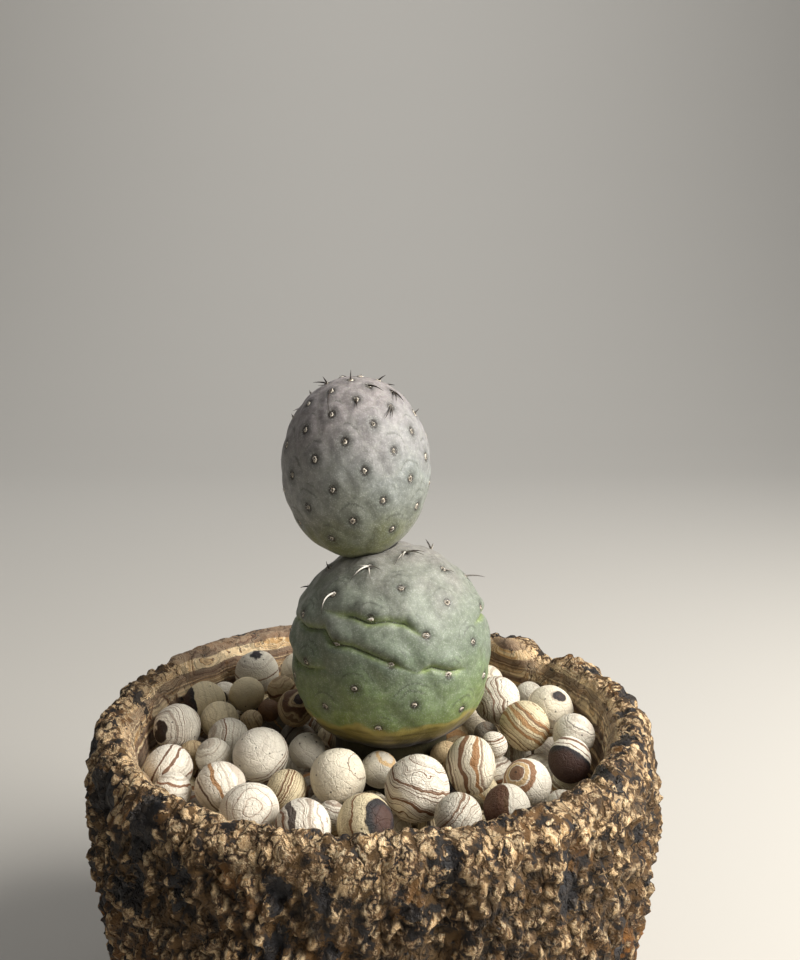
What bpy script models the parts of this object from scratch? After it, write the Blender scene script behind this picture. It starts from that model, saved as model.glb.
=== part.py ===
"""Potted tephrocactus: two stem segments in a bark-like stoneware bowl topped with banded pebbles.

Lengths are named in millimetres and turned into metres by MM. +Z is up, the origin is the centre of
the bowl's flat foot, and the front of the bowl faces -Y.
"""

import math
import random

import bmesh
import bpy
import numpy as np
from mathutils import Matrix, Vector, noise

MM = 0.001

# Clearance between touching pieces
GAP = 0.35

# Bowl
BOWL_STEPS = 72
FOOT_RADIUS = 46.0
BELLY_RADIUS = 62.6
BELLY_HEIGHT = 68.0
BELLY_FULLNESS = 2.3
FOOT_CHAMFER = 1.0
FLOOR_THICKNESS = 9.0
DRAIN_RADIUS = 6.0
MOUTH_RADIUS = 52.0
MOUTH_HEIGHT = 70.0
FLOOR_RADIUS = 38.0
FLOOR_CURVE_HEIGHT = 39.0
RIM_ROLL_HEIGHT = 12.0
RIM_BACK_LIFT = 2.4
RIGHT_BULGE = 1.0
RIDGE_HEIGHT = 2.0
RIDGE_WIDTH = 7.0
RIDGE_LENGTH = 16.0
LUMP_HEIGHT = 1.2
LUMP_SIZE = 5.5
FURROW_ANGLES = (-87.0, -78.0)
FURROW_DEPTH = 1.2
FURROW_WIDTH = 2.4

# Rim features: angle and width in degrees, rise, dip or bulge in millimetres
RIM_WANDER = 0.9
RIM_WANDER_PITCH = 3.1
KNOB_ANGLE = 48.0
KNOB_WIDTH = 5.5
KNOB_RISE = 1.2
KNOB_BULGE = 2.4
NOTCH_ANGLE = 38.0
NOTCH_WIDTH = 4.5
NOTCH_DEPTH = 4.0

# Filling
FILL_STEPS = 36
SOIL_TOP = 58.0
RECESS_DEPTH = 12.0
CUTTER_OVERRUN = 5.0
BED_TOP = 68.2
BED_SLOPE = 0.07
BED_PITCH = 9.6
BED_RELIEF = 1.5
BED_PEBBLE_SIZES = (2.4, 4.4)
BED_PEBBLE_RISE = 0.8
BED_PEBBLE_COUNT = 14
BED_PEBBLE_GRID = 2.5

# Stem segments: centre, half width and half height
LOWER_CENTRE = (4.3, 3.5, 95.3)
LOWER_HALF_WIDTH = 22.9
LOWER_HALF_HEIGHT = 23.7
UPPER_CENTRE = (-3.5, 3.5, 136.5)
UPPER_HALF_WIDTH = 16.8
UPPER_HALF_HEIGHT = 20.6
ROOT_RADIUS = 13.0
PLANT_CLEARANCE = 24.1
LOWER_STEPS = 46
LOWER_ROWS = 24
UPPER_STEPS = 32
UPPER_ROWS = 18

# Areoles stand on a spiral: count, turn between neighbours, first direction, crowding at the tip, lowest
LOWER_SPIRAL = (68, -137.508, 76.0, 1.0, -0.62)
UPPER_SPIRAL = (78, 99.5, 320.0, 1.3, -0.7)
TUBERCLE_HEIGHT = 0.35
TUBERCLE_FURROW = 0.11
AREOLE_RADIUS = 0.8
AREOLE_HEIGHT = 0.5
SPINE_RADIUS = 0.28
ROOT_SINK = 1.2

# Folds in the lower segment, each a line of (azimuth in degrees, height in mm), front first
FOLDS = (
    ((-135, 107), (-113, 107), (-103, 106), (-91, 106.5), (-81, 106), (-71, 103)),
    ((-150, 102.5), (-132, 103.5), (-124, 101), (-112, 101), (-99, 99.5), (-89, 98), (-75, 95.5)),
    ((-75, 95.5), (-67, 96.5), (-56, 95), (-44, 94.5)),
    ((-152, 93.5), (-140, 94), (-130, 95.5)),
    ((-30, 103), (-10, 104), (12, 101.5), (30, 100.5)),
    ((15, 108), (40, 106), (62, 107), (80, 104.5)),
    ((50, 97), (75, 96), (98, 98.5), (120, 97.5)),
    ((105, 104), (130, 103), (150, 105), (172, 102.5), (195, 102)),
)
FOLD_DEPTH = 1.4
FOLD_WIDTH = 1.1
FOLD_LIP = 0.8
FOLD_LIP_RISE = 2.2
FOLD_LIP_WIDTH = 1.7

# Spines seen from the front: azimuth and height of the areole, clock angle (0 up the stem, 90 to the
# right), lift off the skin, length
UPPER_SPINES = (
    (-158, 0.91, -60, 35, 4.0),
    (-158, 0.91, 10, 60, 3.0),
    (-112, 0.97, 0, 70, 3.0),
    (-30, 0.95, 45, 40, 4.0),
    (-131, 0.85, 190, 30, 4.5),
    (-26, 0.83, 150, 30, 5.5),
    (-26, 0.83, 95, 45, 4.0),
    (-67, 0.90, 120, 25, 4.5),
    (-52, 0.67, 200, 25, 4.5),
    (-52, 0.67, 165, 30, 4.0),
    (-176, 0.51, -90, 50, 2.5),
    (-16, 0.59, 90, 50, 3.0),
    (-19, 0.14, 90, 60, 2.0),
)
LOWER_SPINES = (
    (-139, 0.56, 205, 35, 6.0),
    (-119, 0.83, 250, 30, 6.0),
    (-119, 0.83, 110, 30, 5.0),
    (-68, 0.95, 260, 25, 4.5),
    (-68, 0.95, 80, 30, 5.0),
    (34, 0.96, -70, 35, 4.5),
    (-40, 0.81, 100, 35, 3.5),
    (15, 0.87, 60, 45, 5.0),
    (-15, 0.58, 85, 50, 4.0),
    (171, 0.76, -80, 50, 4.0),
    (176, 0.55, -90, 50, 3.0),
)
BACK_SPINE_SEED = 7

# Top pebbles: x, y and diameter; each one settles onto the bed
PEBBLES = (
    (-46.5, 3, 11.5), (-44, -16, 11), (-42.5, -23, 8.5), (-39, -9, 8.5), (-43, 19, 11),
    (-39.5, 28, 7.5), (-33.5, 22.5, 9.5), (-38, 11.5, 9.5), (-31, 35, 12), (-22.5, 37, 11),
    (-25, 25, 8), (-20.5, 15, 9.5), (-27.5, 17.5, 6), (-32, 12.5, 6), (-34, -2.5, 10),
    (-41, -3, 7), (-24, -11, 13), (-15.5, -7, 8.5), (-33, -24, 11), (-24, -34.5, 12.5),
    (-16, -21.5, 9), (-7, -20, 12.5), (1, -13, 8.5), (-12.5, -39.5, 11.5), (-7, -29, 6.5),
    (0, -38, 12), (6.5, -44, 7.5), (0.5, -28, 7.5), (-33.5, -37, 7), (9.5, -27.5, 14.5),
    (15.5, -8, 7.5), (22, -16, 13), (27.5, 6, 6), (30, -0.5, 6.5), (32.5, -20.5, 11),
    (37, 2, 12.5), (30.5, 14.5, 12.5), (29, 31, 9), (44.5, 14, 12.5), (40, 27, 7.5),
    (47.5, -1, 10.5), (44, -10.5, 10.5), (27, -32.5, 10), (17.5, -34, 10), (39, -26, 7),
    (22, 22, 7.5), (11, -43, 7), (2, 40, 10), (15, 42, 11), (-8, 37, 9), (8, 30.5, 8),
    (-12, 46, 9), (23, 39, 9.5), (-2, 30, 7),
)
UPRIGHT_PEBBLE = 31
UPRIGHT_STRETCH = (0.86, 0.86, 1.0)
PEBBLE_SEED = 11
# The largest pebbles are let down onto the bed by as much as they are flattened
HEAVY_RADIUS = 6.4
SETTLE_STEPS = 420
SETTLE_FALL = 0.25
SETTLE_DRIFT = 0.03


def clear_scene():
    """Remove every object of the open scene."""
    for old in list(bpy.data.objects):
        bpy.data.objects.remove(old, do_unlink=True)


def make_material(name, colour, roughness):
    """A plain finish for one sub-part."""
    material = bpy.data.materials.new(name)
    material.use_nodes = True
    shader = material.node_tree.nodes["Principled BSDF"]
    shader.inputs["Base Color"].default_value = (*colour, 1.0)
    shader.inputs["Roughness"].default_value = roughness
    shader.inputs["Metallic"].default_value = 0.0
    return material


def add_object(name, bm, material, smooth=True):
    """Turn a bmesh in millimetres into a named object in metres."""
    bmesh.ops.recalc_face_normals(bm, faces=bm.faces)
    bmesh.ops.scale(bm, vec=(MM, MM, MM), verts=bm.verts)
    mesh = bpy.data.meshes.new(name)
    bm.to_mesh(mesh)
    bm.free()
    if smooth:
        mesh.shade_smooth()
    mesh.materials.append(material)
    made = bpy.data.objects.new(name, mesh)
    bpy.context.scene.collection.objects.link(made)
    return made


def smoothstep(low, high, value):
    """Ease from 0 at low to 1 at high."""
    t = min(1.0, max(0.0, (value - low) / (high - low)))
    return t * t * (3 - 2 * t)


def bell(distance, width):
    """1 at no distance, falling away over the width."""
    return math.exp(-(distance / width) ** 2)


def turn_between(first, second):
    """Signed turn in degrees from the second direction to the first, the short way round."""
    return (first - second + 180) % 360 - 180


def turned(profile, steps, closed):
    """A bmesh turned around Z from a profile of (radius, height) points."""
    bm = bmesh.new()
    verts = [bm.verts.new((radius, 0, height)) for radius, height in profile]
    pairs = list(zip(verts, verts[1:]))
    if closed:
        pairs.append((verts[-1], verts[0]))
    edges = [bm.edges.new(pair) for pair in pairs]
    bmesh.ops.spin(bm, geom=verts + edges, cent=(0, 0, 0), axis=(0, 0, 1), angle=math.tau,
                   steps=steps, use_merge=True)
    bmesh.ops.remove_doubles(bm, verts=bm.verts, dist=1e-4)
    return bm


# Bowl

def outer_radius(height):
    """Radius of the bowl's plain outer wall, from the foot to the belly."""
    rest = 1 - min(height, BELLY_HEIGHT) / BELLY_HEIGHT
    return FOOT_RADIUS + (BELLY_RADIUS - FOOT_RADIUS) * (1 - rest ** BELLY_FULLNESS)


def inner_radius(height):
    """Radius of the bowl's inner wall, straight above and curved in to the floor."""
    if height >= FLOOR_CURVE_HEIGHT:
        return MOUTH_RADIUS
    share = (FLOOR_CURVE_HEIGHT - height) / (FLOOR_CURVE_HEIGHT - FLOOR_THICKNESS)
    return MOUTH_RADIUS - (MOUTH_RADIUS - FLOOR_RADIUS) * share ** 2


INNER_ROWS = (60.0, 42.0, 29.0, 18.0, FLOOR_THICKNESS + 0.4)


def bowl_profile():
    """Closed section of the wall: up the outside, over the rim, down the inside, out of the drain."""
    outside = [(FOOT_RADIUS - FOOT_CHAMFER, 0), (FOOT_RADIUS, FOOT_CHAMFER)]
    outside += [(outer_radius(z), z) for z in (6, 12, 18, 24, 30, 36, 42, 48, 54, 60, 65, 70)]
    rim_radius = (MOUTH_RADIUS + BELLY_RADIUS) / 2
    rim_half_width = (BELLY_RADIUS - MOUTH_RADIUS) / 2
    rim = []
    for degrees in (25, 50, 72, 92, 115, 145, 180):
        turn = math.radians(degrees)
        height = MOUTH_HEIGHT + RIM_ROLL_HEIGHT * math.sin(turn)
        rim.append((rim_radius + rim_half_width * math.cos(turn), height))
    inside = [(inner_radius(z), z) for z in INNER_ROWS]
    floor = [(FLOOR_RADIUS - 6, FLOOR_THICKNESS), (DRAIN_RADIUS, FLOOR_THICKNESS), (DRAIN_RADIUS, 0)]
    return outside + rim + inside + floor


def rim_lift(azimuth):
    """How much the rim rises or dips at an azimuth in degrees."""
    lift = RIM_BACK_LIFT * math.sin(math.radians(azimuth))
    around = Vector((math.cos(math.radians(azimuth)), math.sin(math.radians(azimuth)), 0.3))
    lift += RIM_WANDER * noise.noise(around * RIM_WANDER_PITCH)
    lift -= NOTCH_DEPTH * bell(turn_between(azimuth, NOTCH_ANGLE), NOTCH_WIDTH)
    lift += KNOB_RISE * bell(turn_between(azimuth, KNOB_ANGLE), KNOB_WIDTH)
    return lift


def bark_relief(azimuth, height):
    """Upright ridges broken into lumps, in millimetres off the plain outer wall."""
    turn = math.radians(azimuth)
    east = BELLY_RADIUS * math.cos(turn)
    north = BELLY_RADIUS * math.sin(turn)
    ridge = noise.noise(Vector((east / RIDGE_WIDTH, north / RIDGE_WIDTH, height / RIDGE_LENGTH)))
    lump = noise.noise(Vector((east / LUMP_SIZE, north / LUMP_SIZE, height / LUMP_SIZE + 9)))
    relief = RIDGE_HEIGHT * ridge + LUMP_HEIGHT * lump
    relief += RIGHT_BULGE * max(0.0, math.cos(turn)) ** 2
    for furrow in FURROW_ANGLES:
        relief -= FURROW_DEPTH * bell(turn_between(azimuth, furrow), FURROW_WIDTH)
    return relief


def shape_bowl_vertex(vertex):
    """Give one vertex of the plain bowl its bark relief, rim lift and knob."""
    x, y, z = vertex.co
    radius = math.hypot(x, y)
    azimuth = math.degrees(math.atan2(y, x))
    middle = (inner_radius(z) + outer_radius(z)) / 2
    if z > MOUTH_HEIGHT:
        outwards = smoothstep(MOUTH_RADIUS + 1.5, BELLY_RADIUS - 1, radius)
    else:
        outwards = 1.0 if radius > middle else 0.0
    outwards *= smoothstep(0.5, 8, z)
    radius += outwards * bark_relief(azimuth, z)
    if z > MOUTH_HEIGHT and radius < BELLY_RADIUS - 3:
        radius -= KNOB_BULGE * bell(turn_between(azimuth, KNOB_ANGLE), KNOB_WIDTH) * smoothstep(74, 80, z)
    if radius > middle or z > 55:
        z += rim_lift(azimuth) * smoothstep(55, 80, z)
    turn = math.radians(azimuth)
    vertex.co = (radius * math.cos(turn), radius * math.sin(turn), z)


def make_bowl():
    """The hand-formed stoneware bowl with its drain hole."""
    bm = turned(bowl_profile(), BOWL_STEPS, closed=True)
    for vertex in bm.verts:
        shape_bowl_vertex(vertex)
    return add_object("pot", bm, make_material("bark_stoneware", (0.36, 0.22, 0.11), 0.8))


# Filling

def fill_block(levels):
    """A solid that fills the bowl between two heights, with the wall's own section."""
    profile = [(0, levels[0])]
    profile += [(inner_radius(z) - GAP, z) for z in levels]
    profile += [(0, levels[-1])]
    return turned(profile, FILL_STEPS, closed=False)


def make_recess(name, bottom, top):
    """A plain round cutter for the hole that the root stands in."""
    bm = bmesh.new()
    bmesh.ops.create_cone(bm, cap_ends=True, segments=24, radius1=ROOT_RADIUS + GAP,
                          radius2=ROOT_RADIUS + GAP, depth=top - bottom)
    bmesh.ops.translate(bm, vec=(LOWER_CENTRE[0], LOWER_CENTRE[1], (top + bottom) / 2), verts=bm.verts)
    return make_cutter(name, bm)


def make_cutter(name, bm):
    """A solid that only cuts another one."""
    cutter = add_object(name, bm, make_material(name, (0.5, 0.5, 0.5), 0.9), smooth=False)
    cutter.hide_render = True
    cutter.display_type = "WIRE"
    return cutter


def cut_with(target, cutter, operation="DIFFERENCE"):
    """Cut a solid with a plain one, left live on the object."""
    modifier = target.modifiers.new(cutter.name, "BOOLEAN")
    modifier.operation = operation
    modifier.solver = "EXACT"
    modifier.object = cutter


def make_soil():
    """The soil, a plain filling with a round recess for the root."""
    levels = [z for z in reversed(INNER_ROWS) if z < SOIL_TOP] + [SOIL_TOP]
    bm = fill_block(levels)
    soil = add_object("soil", bm, make_material("soil", (0.10, 0.07, 0.05), 0.95), smooth=False)
    cut_with(soil, make_recess("soil_recess", SOIL_TOP - RECESS_DEPTH, SOIL_TOP + CUTTER_OVERRUN))


def bed_height(x, y):
    """Top of the lower pebbles: rounded bumps on a hexagonal pattern, rising a little to the back."""
    wave = math.tau / (BED_PITCH * math.sqrt(3) / 2)
    bumps = 0.0
    for degrees in (90, 210, 330):
        turn = math.radians(degrees)
        bumps += math.cos(wave * (x * math.cos(turn) + y * math.sin(turn)))
    return BED_TOP + BED_SLOPE * y + BED_RELIEF * bumps / 3


def gap_pebbles(places, radii):
    """Places and sizes of the half-sunk pebbles that fill the gaps between the top ones."""
    smallest, largest = BED_PEBBLE_SIZES
    reach = int(MOUTH_RADIUS / BED_PEBBLE_GRID)
    found = []
    for column in range(-reach, reach + 1):
        for row in range(-reach, reach + 1):
            x = column * BED_PEBBLE_GRID
            y = row * BED_PEBBLE_GRID
            centre = np.array((x, y, bed_height(x, y) + BED_PEBBLE_RISE))
            room = [MOUTH_RADIUS - math.hypot(x, y) - GAP]
            room.append(math.hypot(x - LOWER_CENTRE[0], y - LOWER_CENTRE[1]) - ROOT_RADIUS - GAP)
            room.append(np.linalg.norm(centre - np.array(LOWER_CENTRE)) - PLANT_CLEARANCE)
            room.append((np.linalg.norm(places - centre, axis=1) - radii).min() - GAP)
            size = min(largest, min(room))
            if size >= smallest:
                found.append((size, tuple(centre)))
    found.sort(key=lambda item: (-round(item[0], 3), item[1]))
    chosen = []
    for size, centre in found:
        clear = all(math.dist(centre, other) > 0.7 * (size + other_size) for other_size, other in chosen)
        if clear and len(chosen) < BED_PEBBLE_COUNT:
            chosen.append((size, centre))
    return chosen


def make_bed(places, radii):
    """The lower pebbles, fused in one lumpy layer around the root."""
    half_x = math.ceil(MOUTH_RADIUS / (BED_PITCH / 2))
    step_y = BED_PITCH * math.sqrt(3) / 4
    half_y = math.ceil(MOUTH_RADIUS / step_y)
    bm = bmesh.new()
    bmesh.ops.create_grid(bm, x_segments=2 * half_x, y_segments=2 * half_y, size=1.0)
    bmesh.ops.scale(bm, vec=(half_x * BED_PITCH / 2, half_y * step_y, 1), verts=bm.verts)
    for vertex in bm.verts:
        vertex.co.z = bed_height(vertex.co.x, vertex.co.y)
    skirt = bmesh.ops.extrude_face_region(bm, geom=list(bm.faces))
    for vertex in (item for item in skirt["geom"] if isinstance(item, bmesh.types.BMVert)):
        vertex.co.z = SOIL_TOP + GAP
    lower = [item for item in skirt["geom"] if isinstance(item, bmesh.types.BMFace)]
    bmesh.ops.dissolve_faces(bm, faces=lower, use_verts=True)
    bed = add_object("pebble_bed", bm, make_material("pebble_bed", (0.62, 0.52, 0.38), 0.8))
    low = SOIL_TOP - CUTTER_OVERRUN
    high = BED_TOP + 2 * CUTTER_OVERRUN
    reach = MOUTH_RADIUS - GAP
    outline = turned([(0, low), (reach, low), (reach, high), (0, high)], FILL_STEPS, closed=False)
    cut_with(bed, make_cutter("bed_outline", outline), "INTERSECT")
    cut_with(bed, make_recess("bed_recess", low, high))
    repeats = bpy.data.collections.new("bed_pebbles")
    bpy.context.scene.collection.children.link(repeats)
    made = []
    for index, (size, centre) in enumerate(gap_pebbles(places, radii)):
        ball = bmesh.new()
        bmesh.ops.create_icosphere(ball, subdivisions=2, radius=size)
        bmesh.ops.translate(ball, vec=centre, verts=ball.verts)
        made.append(add_object(f"gap_pebble_{index}", ball, bed.data.materials[0]))
    join_repeats(bed, repeats, made)


# Pebbles

def push_apart(places, radii):
    """Part each pair of pebbles that is closer than the clearance, each by half."""
    away = places[:, None] - places[None]
    distance = np.linalg.norm(away, axis=2)
    np.fill_diagonal(distance, np.inf)
    short = np.maximum(radii[:, None] + radii[None] + GAP - distance, 0) / 2
    np.fill_diagonal(distance, 1.0)
    return (away / distance[..., None] * short[..., None]).sum(axis=1)


def keep_in_bowl(places, radii):
    """Hold pebbles inside the wall, off the plant and on the bed."""
    plant = np.array(LOWER_CENTRE)
    away = places - plant
    distance = np.linalg.norm(away, axis=1)
    places += away / distance[:, None] * np.maximum(radii + PLANT_CLEARANCE - distance, 0)[:, None]
    away = places[:, :2] - plant[:2]
    distance = np.linalg.norm(away, axis=1)
    short = np.maximum(radii + ROOT_RADIUS + GAP - distance, 0)
    places[:, :2] += away / distance[:, None] * short[:, None]
    reach = np.linalg.norm(places[:, :2], axis=1)
    over = np.maximum(reach + radii + GAP - MOUTH_RADIUS, 0)
    places[:, :2] -= places[:, :2] / reach[:, None] * over[:, None]
    for place, radius in zip(places, radii):
        place[2] = max(place[2], resting_height(place[0], place[1], radius))


def resting_height(x, y, radius):
    """Height of a pebble's centre when it lies on the bed."""
    highest = 0.0
    for share in (0.0, 0.3, 0.55):
        for turn in range(0, 360, 60):
            east = share * radius * math.cos(math.radians(turn))
            north = share * radius * math.sin(math.radians(turn))
            rise = radius * math.sqrt(1 - share ** 2)
            highest = max(highest, bed_height(x + east, y + north) + rise + GAP)
    return highest


def settled_places():
    """Let the pebbles fall from their places until they rest on the bed and against each other."""
    home = np.array([(x, y) for x, y, diameter in PEBBLES], dtype=float)
    radii = np.array([diameter / 2 for x, y, diameter in PEBBLES])
    places = np.column_stack([home, np.full(len(home), BED_TOP + 8.0)])
    for step in range(SETTLE_STEPS):
        falling = step < SETTLE_STEPS * 0.75
        if falling:
            places[:, 2] -= SETTLE_FALL
            places[:, :2] += SETTLE_DRIFT * (home - places[:, :2])
        for repeat in range(2):
            places += push_apart(places, radii)
            keep_in_bowl(places, radii)
    return places, radii


def make_pebbles(places, radii):
    """The pebbles on top, one solid each."""
    rng = random.Random(PEBBLE_SEED)
    clay = make_material("banded_pebble", (0.78, 0.68, 0.52), 0.75)
    for index, (place, radius) in enumerate(zip(places, radii)):
        bm = bmesh.new()
        bmesh.ops.create_icosphere(bm, subdivisions=2, radius=radius)
        stretch = (rng.uniform(0.95, 1), rng.uniform(0.95, 1), rng.uniform(0.93, 0.99))
        if index == UPRIGHT_PEBBLE:
            stretch = UPRIGHT_STRETCH
        bmesh.ops.scale(bm, vec=stretch, verts=bm.verts)
        turn = Matrix.Rotation(rng.uniform(0, math.tau), 3, "Z")
        bmesh.ops.rotate(bm, cent=(0, 0, 0), matrix=turn, verts=bm.verts)
        seated = Vector(place)
        if radius >= HEAVY_RADIUS:
            seated.z -= radius * (1 - stretch[2])
        bmesh.ops.translate(bm, vec=seated, verts=bm.verts)
        add_object(f"pebble_{index + 1:02d}", bm, clay)


# Plant

def spiral_directions(spiral):
    """Unit directions of a segment's areoles, from the tip down."""
    count, divergence, phase, crowding, lowest = spiral
    directions = []
    for index in range(count):
        height = 1 - 2 * ((index + 0.5) / count) ** crowding
        if height >= lowest:
            azimuth = math.radians(phase + divergence * index)
            ring = math.sqrt(1 - height * height)
            directions.append(Vector((ring * math.cos(azimuth), ring * math.sin(azimuth), height)))
    return directions


def direction_of(azimuth, height):
    """Unit direction from an azimuth in degrees and a height share."""
    ring = math.sqrt(1 - height * height)
    turn = math.radians(azimuth)
    return Vector((ring * math.cos(turn), ring * math.sin(turn), height))


def tubercle_relief(direction, areoles):
    """Low swellings around the areoles with shallow furrows between them."""
    distances = sorted((direction - areole).length for areole in areoles)
    border = distances[1] - distances[0]
    return TUBERCLE_HEIGHT * (1 - bell(border, TUBERCLE_FURROW)) - TUBERCLE_HEIGHT / 2


def fold_relief(azimuth, height, width):
    """Pinched folds of the lower segment, each with a lip of flesh over it."""
    relief = 0.0
    for fold in FOLDS:
        nearest = 1e9
        rise = 0.0
        for (azimuth_a, height_a), (azimuth_b, height_b) in zip(fold, fold[1:]):
            run = math.radians(azimuth_b - azimuth_a) * width
            along = math.radians(turn_between(azimuth, azimuth_a)) * width
            climb = height_b - height_a
            share = (along * run + (height - height_a) * climb) / (run * run + climb * climb)
            share = min(1.0, max(0.0, share))
            side = along - share * run
            above = height - height_a - share * climb
            if math.hypot(side, above) < nearest:
                nearest = math.hypot(side, above)
                rise = math.copysign(nearest, above)
        relief -= FOLD_DEPTH * bell(nearest, FOLD_WIDTH)
        if rise > 0:
            relief += FOLD_LIP * bell(rise - FOLD_LIP_RISE, FOLD_LIP_WIDTH)
    return relief


class Segment:
    """One stem segment: an egg-shaped body with its areoles."""

    def __init__(self, centre, half_width, half_height, spiral, folded):
        self.centre = Vector(centre)
        self.half_width = half_width
        self.half_height = half_height
        self.areoles = spiral_directions(spiral)
        self.folded = folded

    def normal(self, direction):
        """Outward direction of the plain body's skin."""
        wide = direction.x / self.half_width, direction.y / self.half_width
        return Vector((*wide, direction.z / self.half_height)).normalized()

    def surface(self, direction):
        """Point of the skin in a unit direction."""
        body = Vector((direction.x * self.half_width, direction.y * self.half_width,
                       direction.z * self.half_height))
        relief = tubercle_relief(direction, self.areoles)
        if self.folded:
            azimuth = math.degrees(math.atan2(direction.y, direction.x))
            height = self.centre.z + body.z
            relief += fold_relief(azimuth, height, self.half_width)
        return self.centre + body + self.normal(direction) * relief

    def unit_direction(self, point):
        """Unit direction of a point of the plain body."""
        offset = point - self.centre
        return Vector((offset.x / self.half_width, offset.y / self.half_width,
                       offset.z / self.half_height)).normalized()


def seat_under(point, upper):
    """Lower a point of the lower segment onto the dish that the upper segment sits in."""
    wide = upper.half_width + GAP
    tall = upper.half_height + GAP
    offset = point - upper.centre
    ring = (offset.x ** 2 + offset.y ** 2) / wide ** 2
    if ring < 1:
        dish = upper.centre.z - tall * math.sqrt(1 - ring)
        if point.z > dish:
            return Vector((point.x, point.y, dish))
    return point


def segment_body(segment, steps, rows, with_root, upper=None):
    """The turned body of a segment, shaped by its relief."""
    centre = segment.centre
    lowest = math.pi
    if with_root:
        lowest = math.pi - math.asin((ROOT_RADIUS + 0.5) / segment.half_width)
    profile = []
    for row in range(rows + 1):
        angle = lowest * row / rows
        profile.append((segment.half_width * math.sin(angle), segment.half_height * math.cos(angle)))
    profile[0] = (0, segment.half_height)
    if with_root:
        root_bottom = SOIL_TOP - RECESS_DEPTH + GAP - centre.z
        profile += [(ROOT_RADIUS, profile[-1][1] - 1.5), (ROOT_RADIUS, root_bottom), (0, root_bottom)]
    else:
        profile[-1] = (0, -segment.half_height)
    bm = turned(profile, steps, closed=False)
    root_top = profile[rows][1] + 0.1 if with_root else -math.inf
    for vertex in bm.verts:
        if vertex.co.z >= root_top:
            vertex.co = segment.surface(segment.unit_direction(vertex.co + centre))
            if upper:
                vertex.co = seat_under(vertex.co, upper)
        else:
            vertex.co += centre
    return bm


def cone_between(name, root, tip, root_radius, tip_radius, sides, material):
    """A slim cone from a root point to a tip point."""
    along = tip - root
    bm = bmesh.new()
    bmesh.ops.create_cone(bm, cap_ends=True, segments=sides, radius1=root_radius, radius2=tip_radius,
                          depth=along.length)
    bmesh.ops.rotate(bm, cent=(0, 0, 0), matrix=along.to_track_quat("Z", "Y").to_matrix(), verts=bm.verts)
    bmesh.ops.translate(bm, vec=(root + tip) / 2, verts=bm.verts)
    bmesh.ops.remove_doubles(bm, verts=bm.verts, dist=1e-4)
    return add_object(name, bm, material)


def spine_ends(segment, areole, clock, lift, length):
    """Root and tip of a spine on an areole."""
    normal = segment.normal(areole)
    up = (Vector((0, 0, 1)) - normal * normal.z).normalized()
    right = up.cross(normal)
    turn = math.radians(clock)
    tangent = up * math.cos(turn) + right * math.sin(turn)
    aim = tangent * math.cos(math.radians(lift)) + normal * math.sin(math.radians(lift))
    start = segment.surface(areole)
    return start - normal * ROOT_SINK, start + aim * length


def spine_plan(segment, front_spines, highest_share):
    """Spines of a segment: those seen from the front, then a seeded draw for the back."""
    plan = []
    for azimuth, height, clock, lift, length in front_spines:
        wanted = direction_of(azimuth, height)
        areole = min(segment.areoles, key=lambda place: (place - wanted).length)
        plan.append(spine_ends(segment, areole, clock, lift, length))
    rng = random.Random(BACK_SPINE_SEED)
    for areole in segment.areoles:
        if areole.z > highest_share and areole.y > 0.12:
            for clock in (rng.uniform(60, 150), rng.uniform(210, 300)):
                ends = spine_ends(segment, areole, clock, rng.uniform(25, 50), rng.uniform(3, 5.5))
                plan.append(ends)
    return plan


def make_segment(name, segment, material, front_spines, highest_share, size, upper=None):
    """A stem segment with its areoles and spines joined to it."""
    steps, rows, with_root = size
    body = add_object(name, segment_body(segment, steps, rows, with_root, upper), material)
    repeats = bpy.data.collections.new(name + "_repeats")
    bpy.context.scene.collection.children.link(repeats)
    made = []
    for index, areole in enumerate(segment.areoles):
        normal = segment.normal(areole)
        start = segment.surface(areole)
        if upper and (start - upper.centre).length < upper.half_height + 3:
            continue
        top = start + normal * AREOLE_HEIGHT
        root = start - normal * ROOT_SINK
        made.append(cone_between(f"areole_{index}", root, top, 2 * AREOLE_RADIUS, 0, 5, material))
    for index, (root, tip) in enumerate(spine_plan(segment, front_spines, highest_share)):
        if upper and (tip - upper.centre).length < upper.half_height + 1.5:
            continue
        made.append(cone_between(f"spine_{index}", root, tip, SPINE_RADIUS, 0, 3, material))
    join_repeats(body, repeats, made)


def join_repeats(body, repeats, made):
    """Join every repeat of a collection to the body in one union, and apply it."""
    for piece in made:
        bpy.context.scene.collection.objects.unlink(piece)
        repeats.objects.link(piece)
    modifier = body.modifiers.new("repeats", "BOOLEAN")
    modifier.operation = "UNION"
    modifier.operand_type = "COLLECTION"
    modifier.collection = repeats
    modifier.solver = "MANIFOLD"
    graph = bpy.context.evaluated_depsgraph_get()
    joined = bpy.data.meshes.new_from_object(body.evaluated_get(graph))
    body.modifiers.clear()
    body.data = joined
    for piece in made:
        bpy.data.objects.remove(piece, do_unlink=True)
    bpy.data.collections.remove(repeats)


def make_plant():
    """The two stem segments, the upper one seated in a dish on the lower one."""
    upper = Segment(UPPER_CENTRE, UPPER_HALF_WIDTH, UPPER_HALF_HEIGHT, UPPER_SPIRAL, folded=False)
    lower = Segment(LOWER_CENTRE, LOWER_HALF_WIDTH, LOWER_HALF_HEIGHT, LOWER_SPIRAL, folded=True)
    green = make_material("lower_skin", (0.22, 0.29, 0.19), 0.6)
    mauve = make_material("upper_skin", (0.30, 0.29, 0.28), 0.6)
    make_segment("lower_segment", lower, green, LOWER_SPINES, 0.5, (LOWER_STEPS, LOWER_ROWS, True), upper)
    make_segment("upper_segment", upper, mauve, UPPER_SPINES, 0.6, (UPPER_STEPS, UPPER_ROWS, False))


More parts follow.
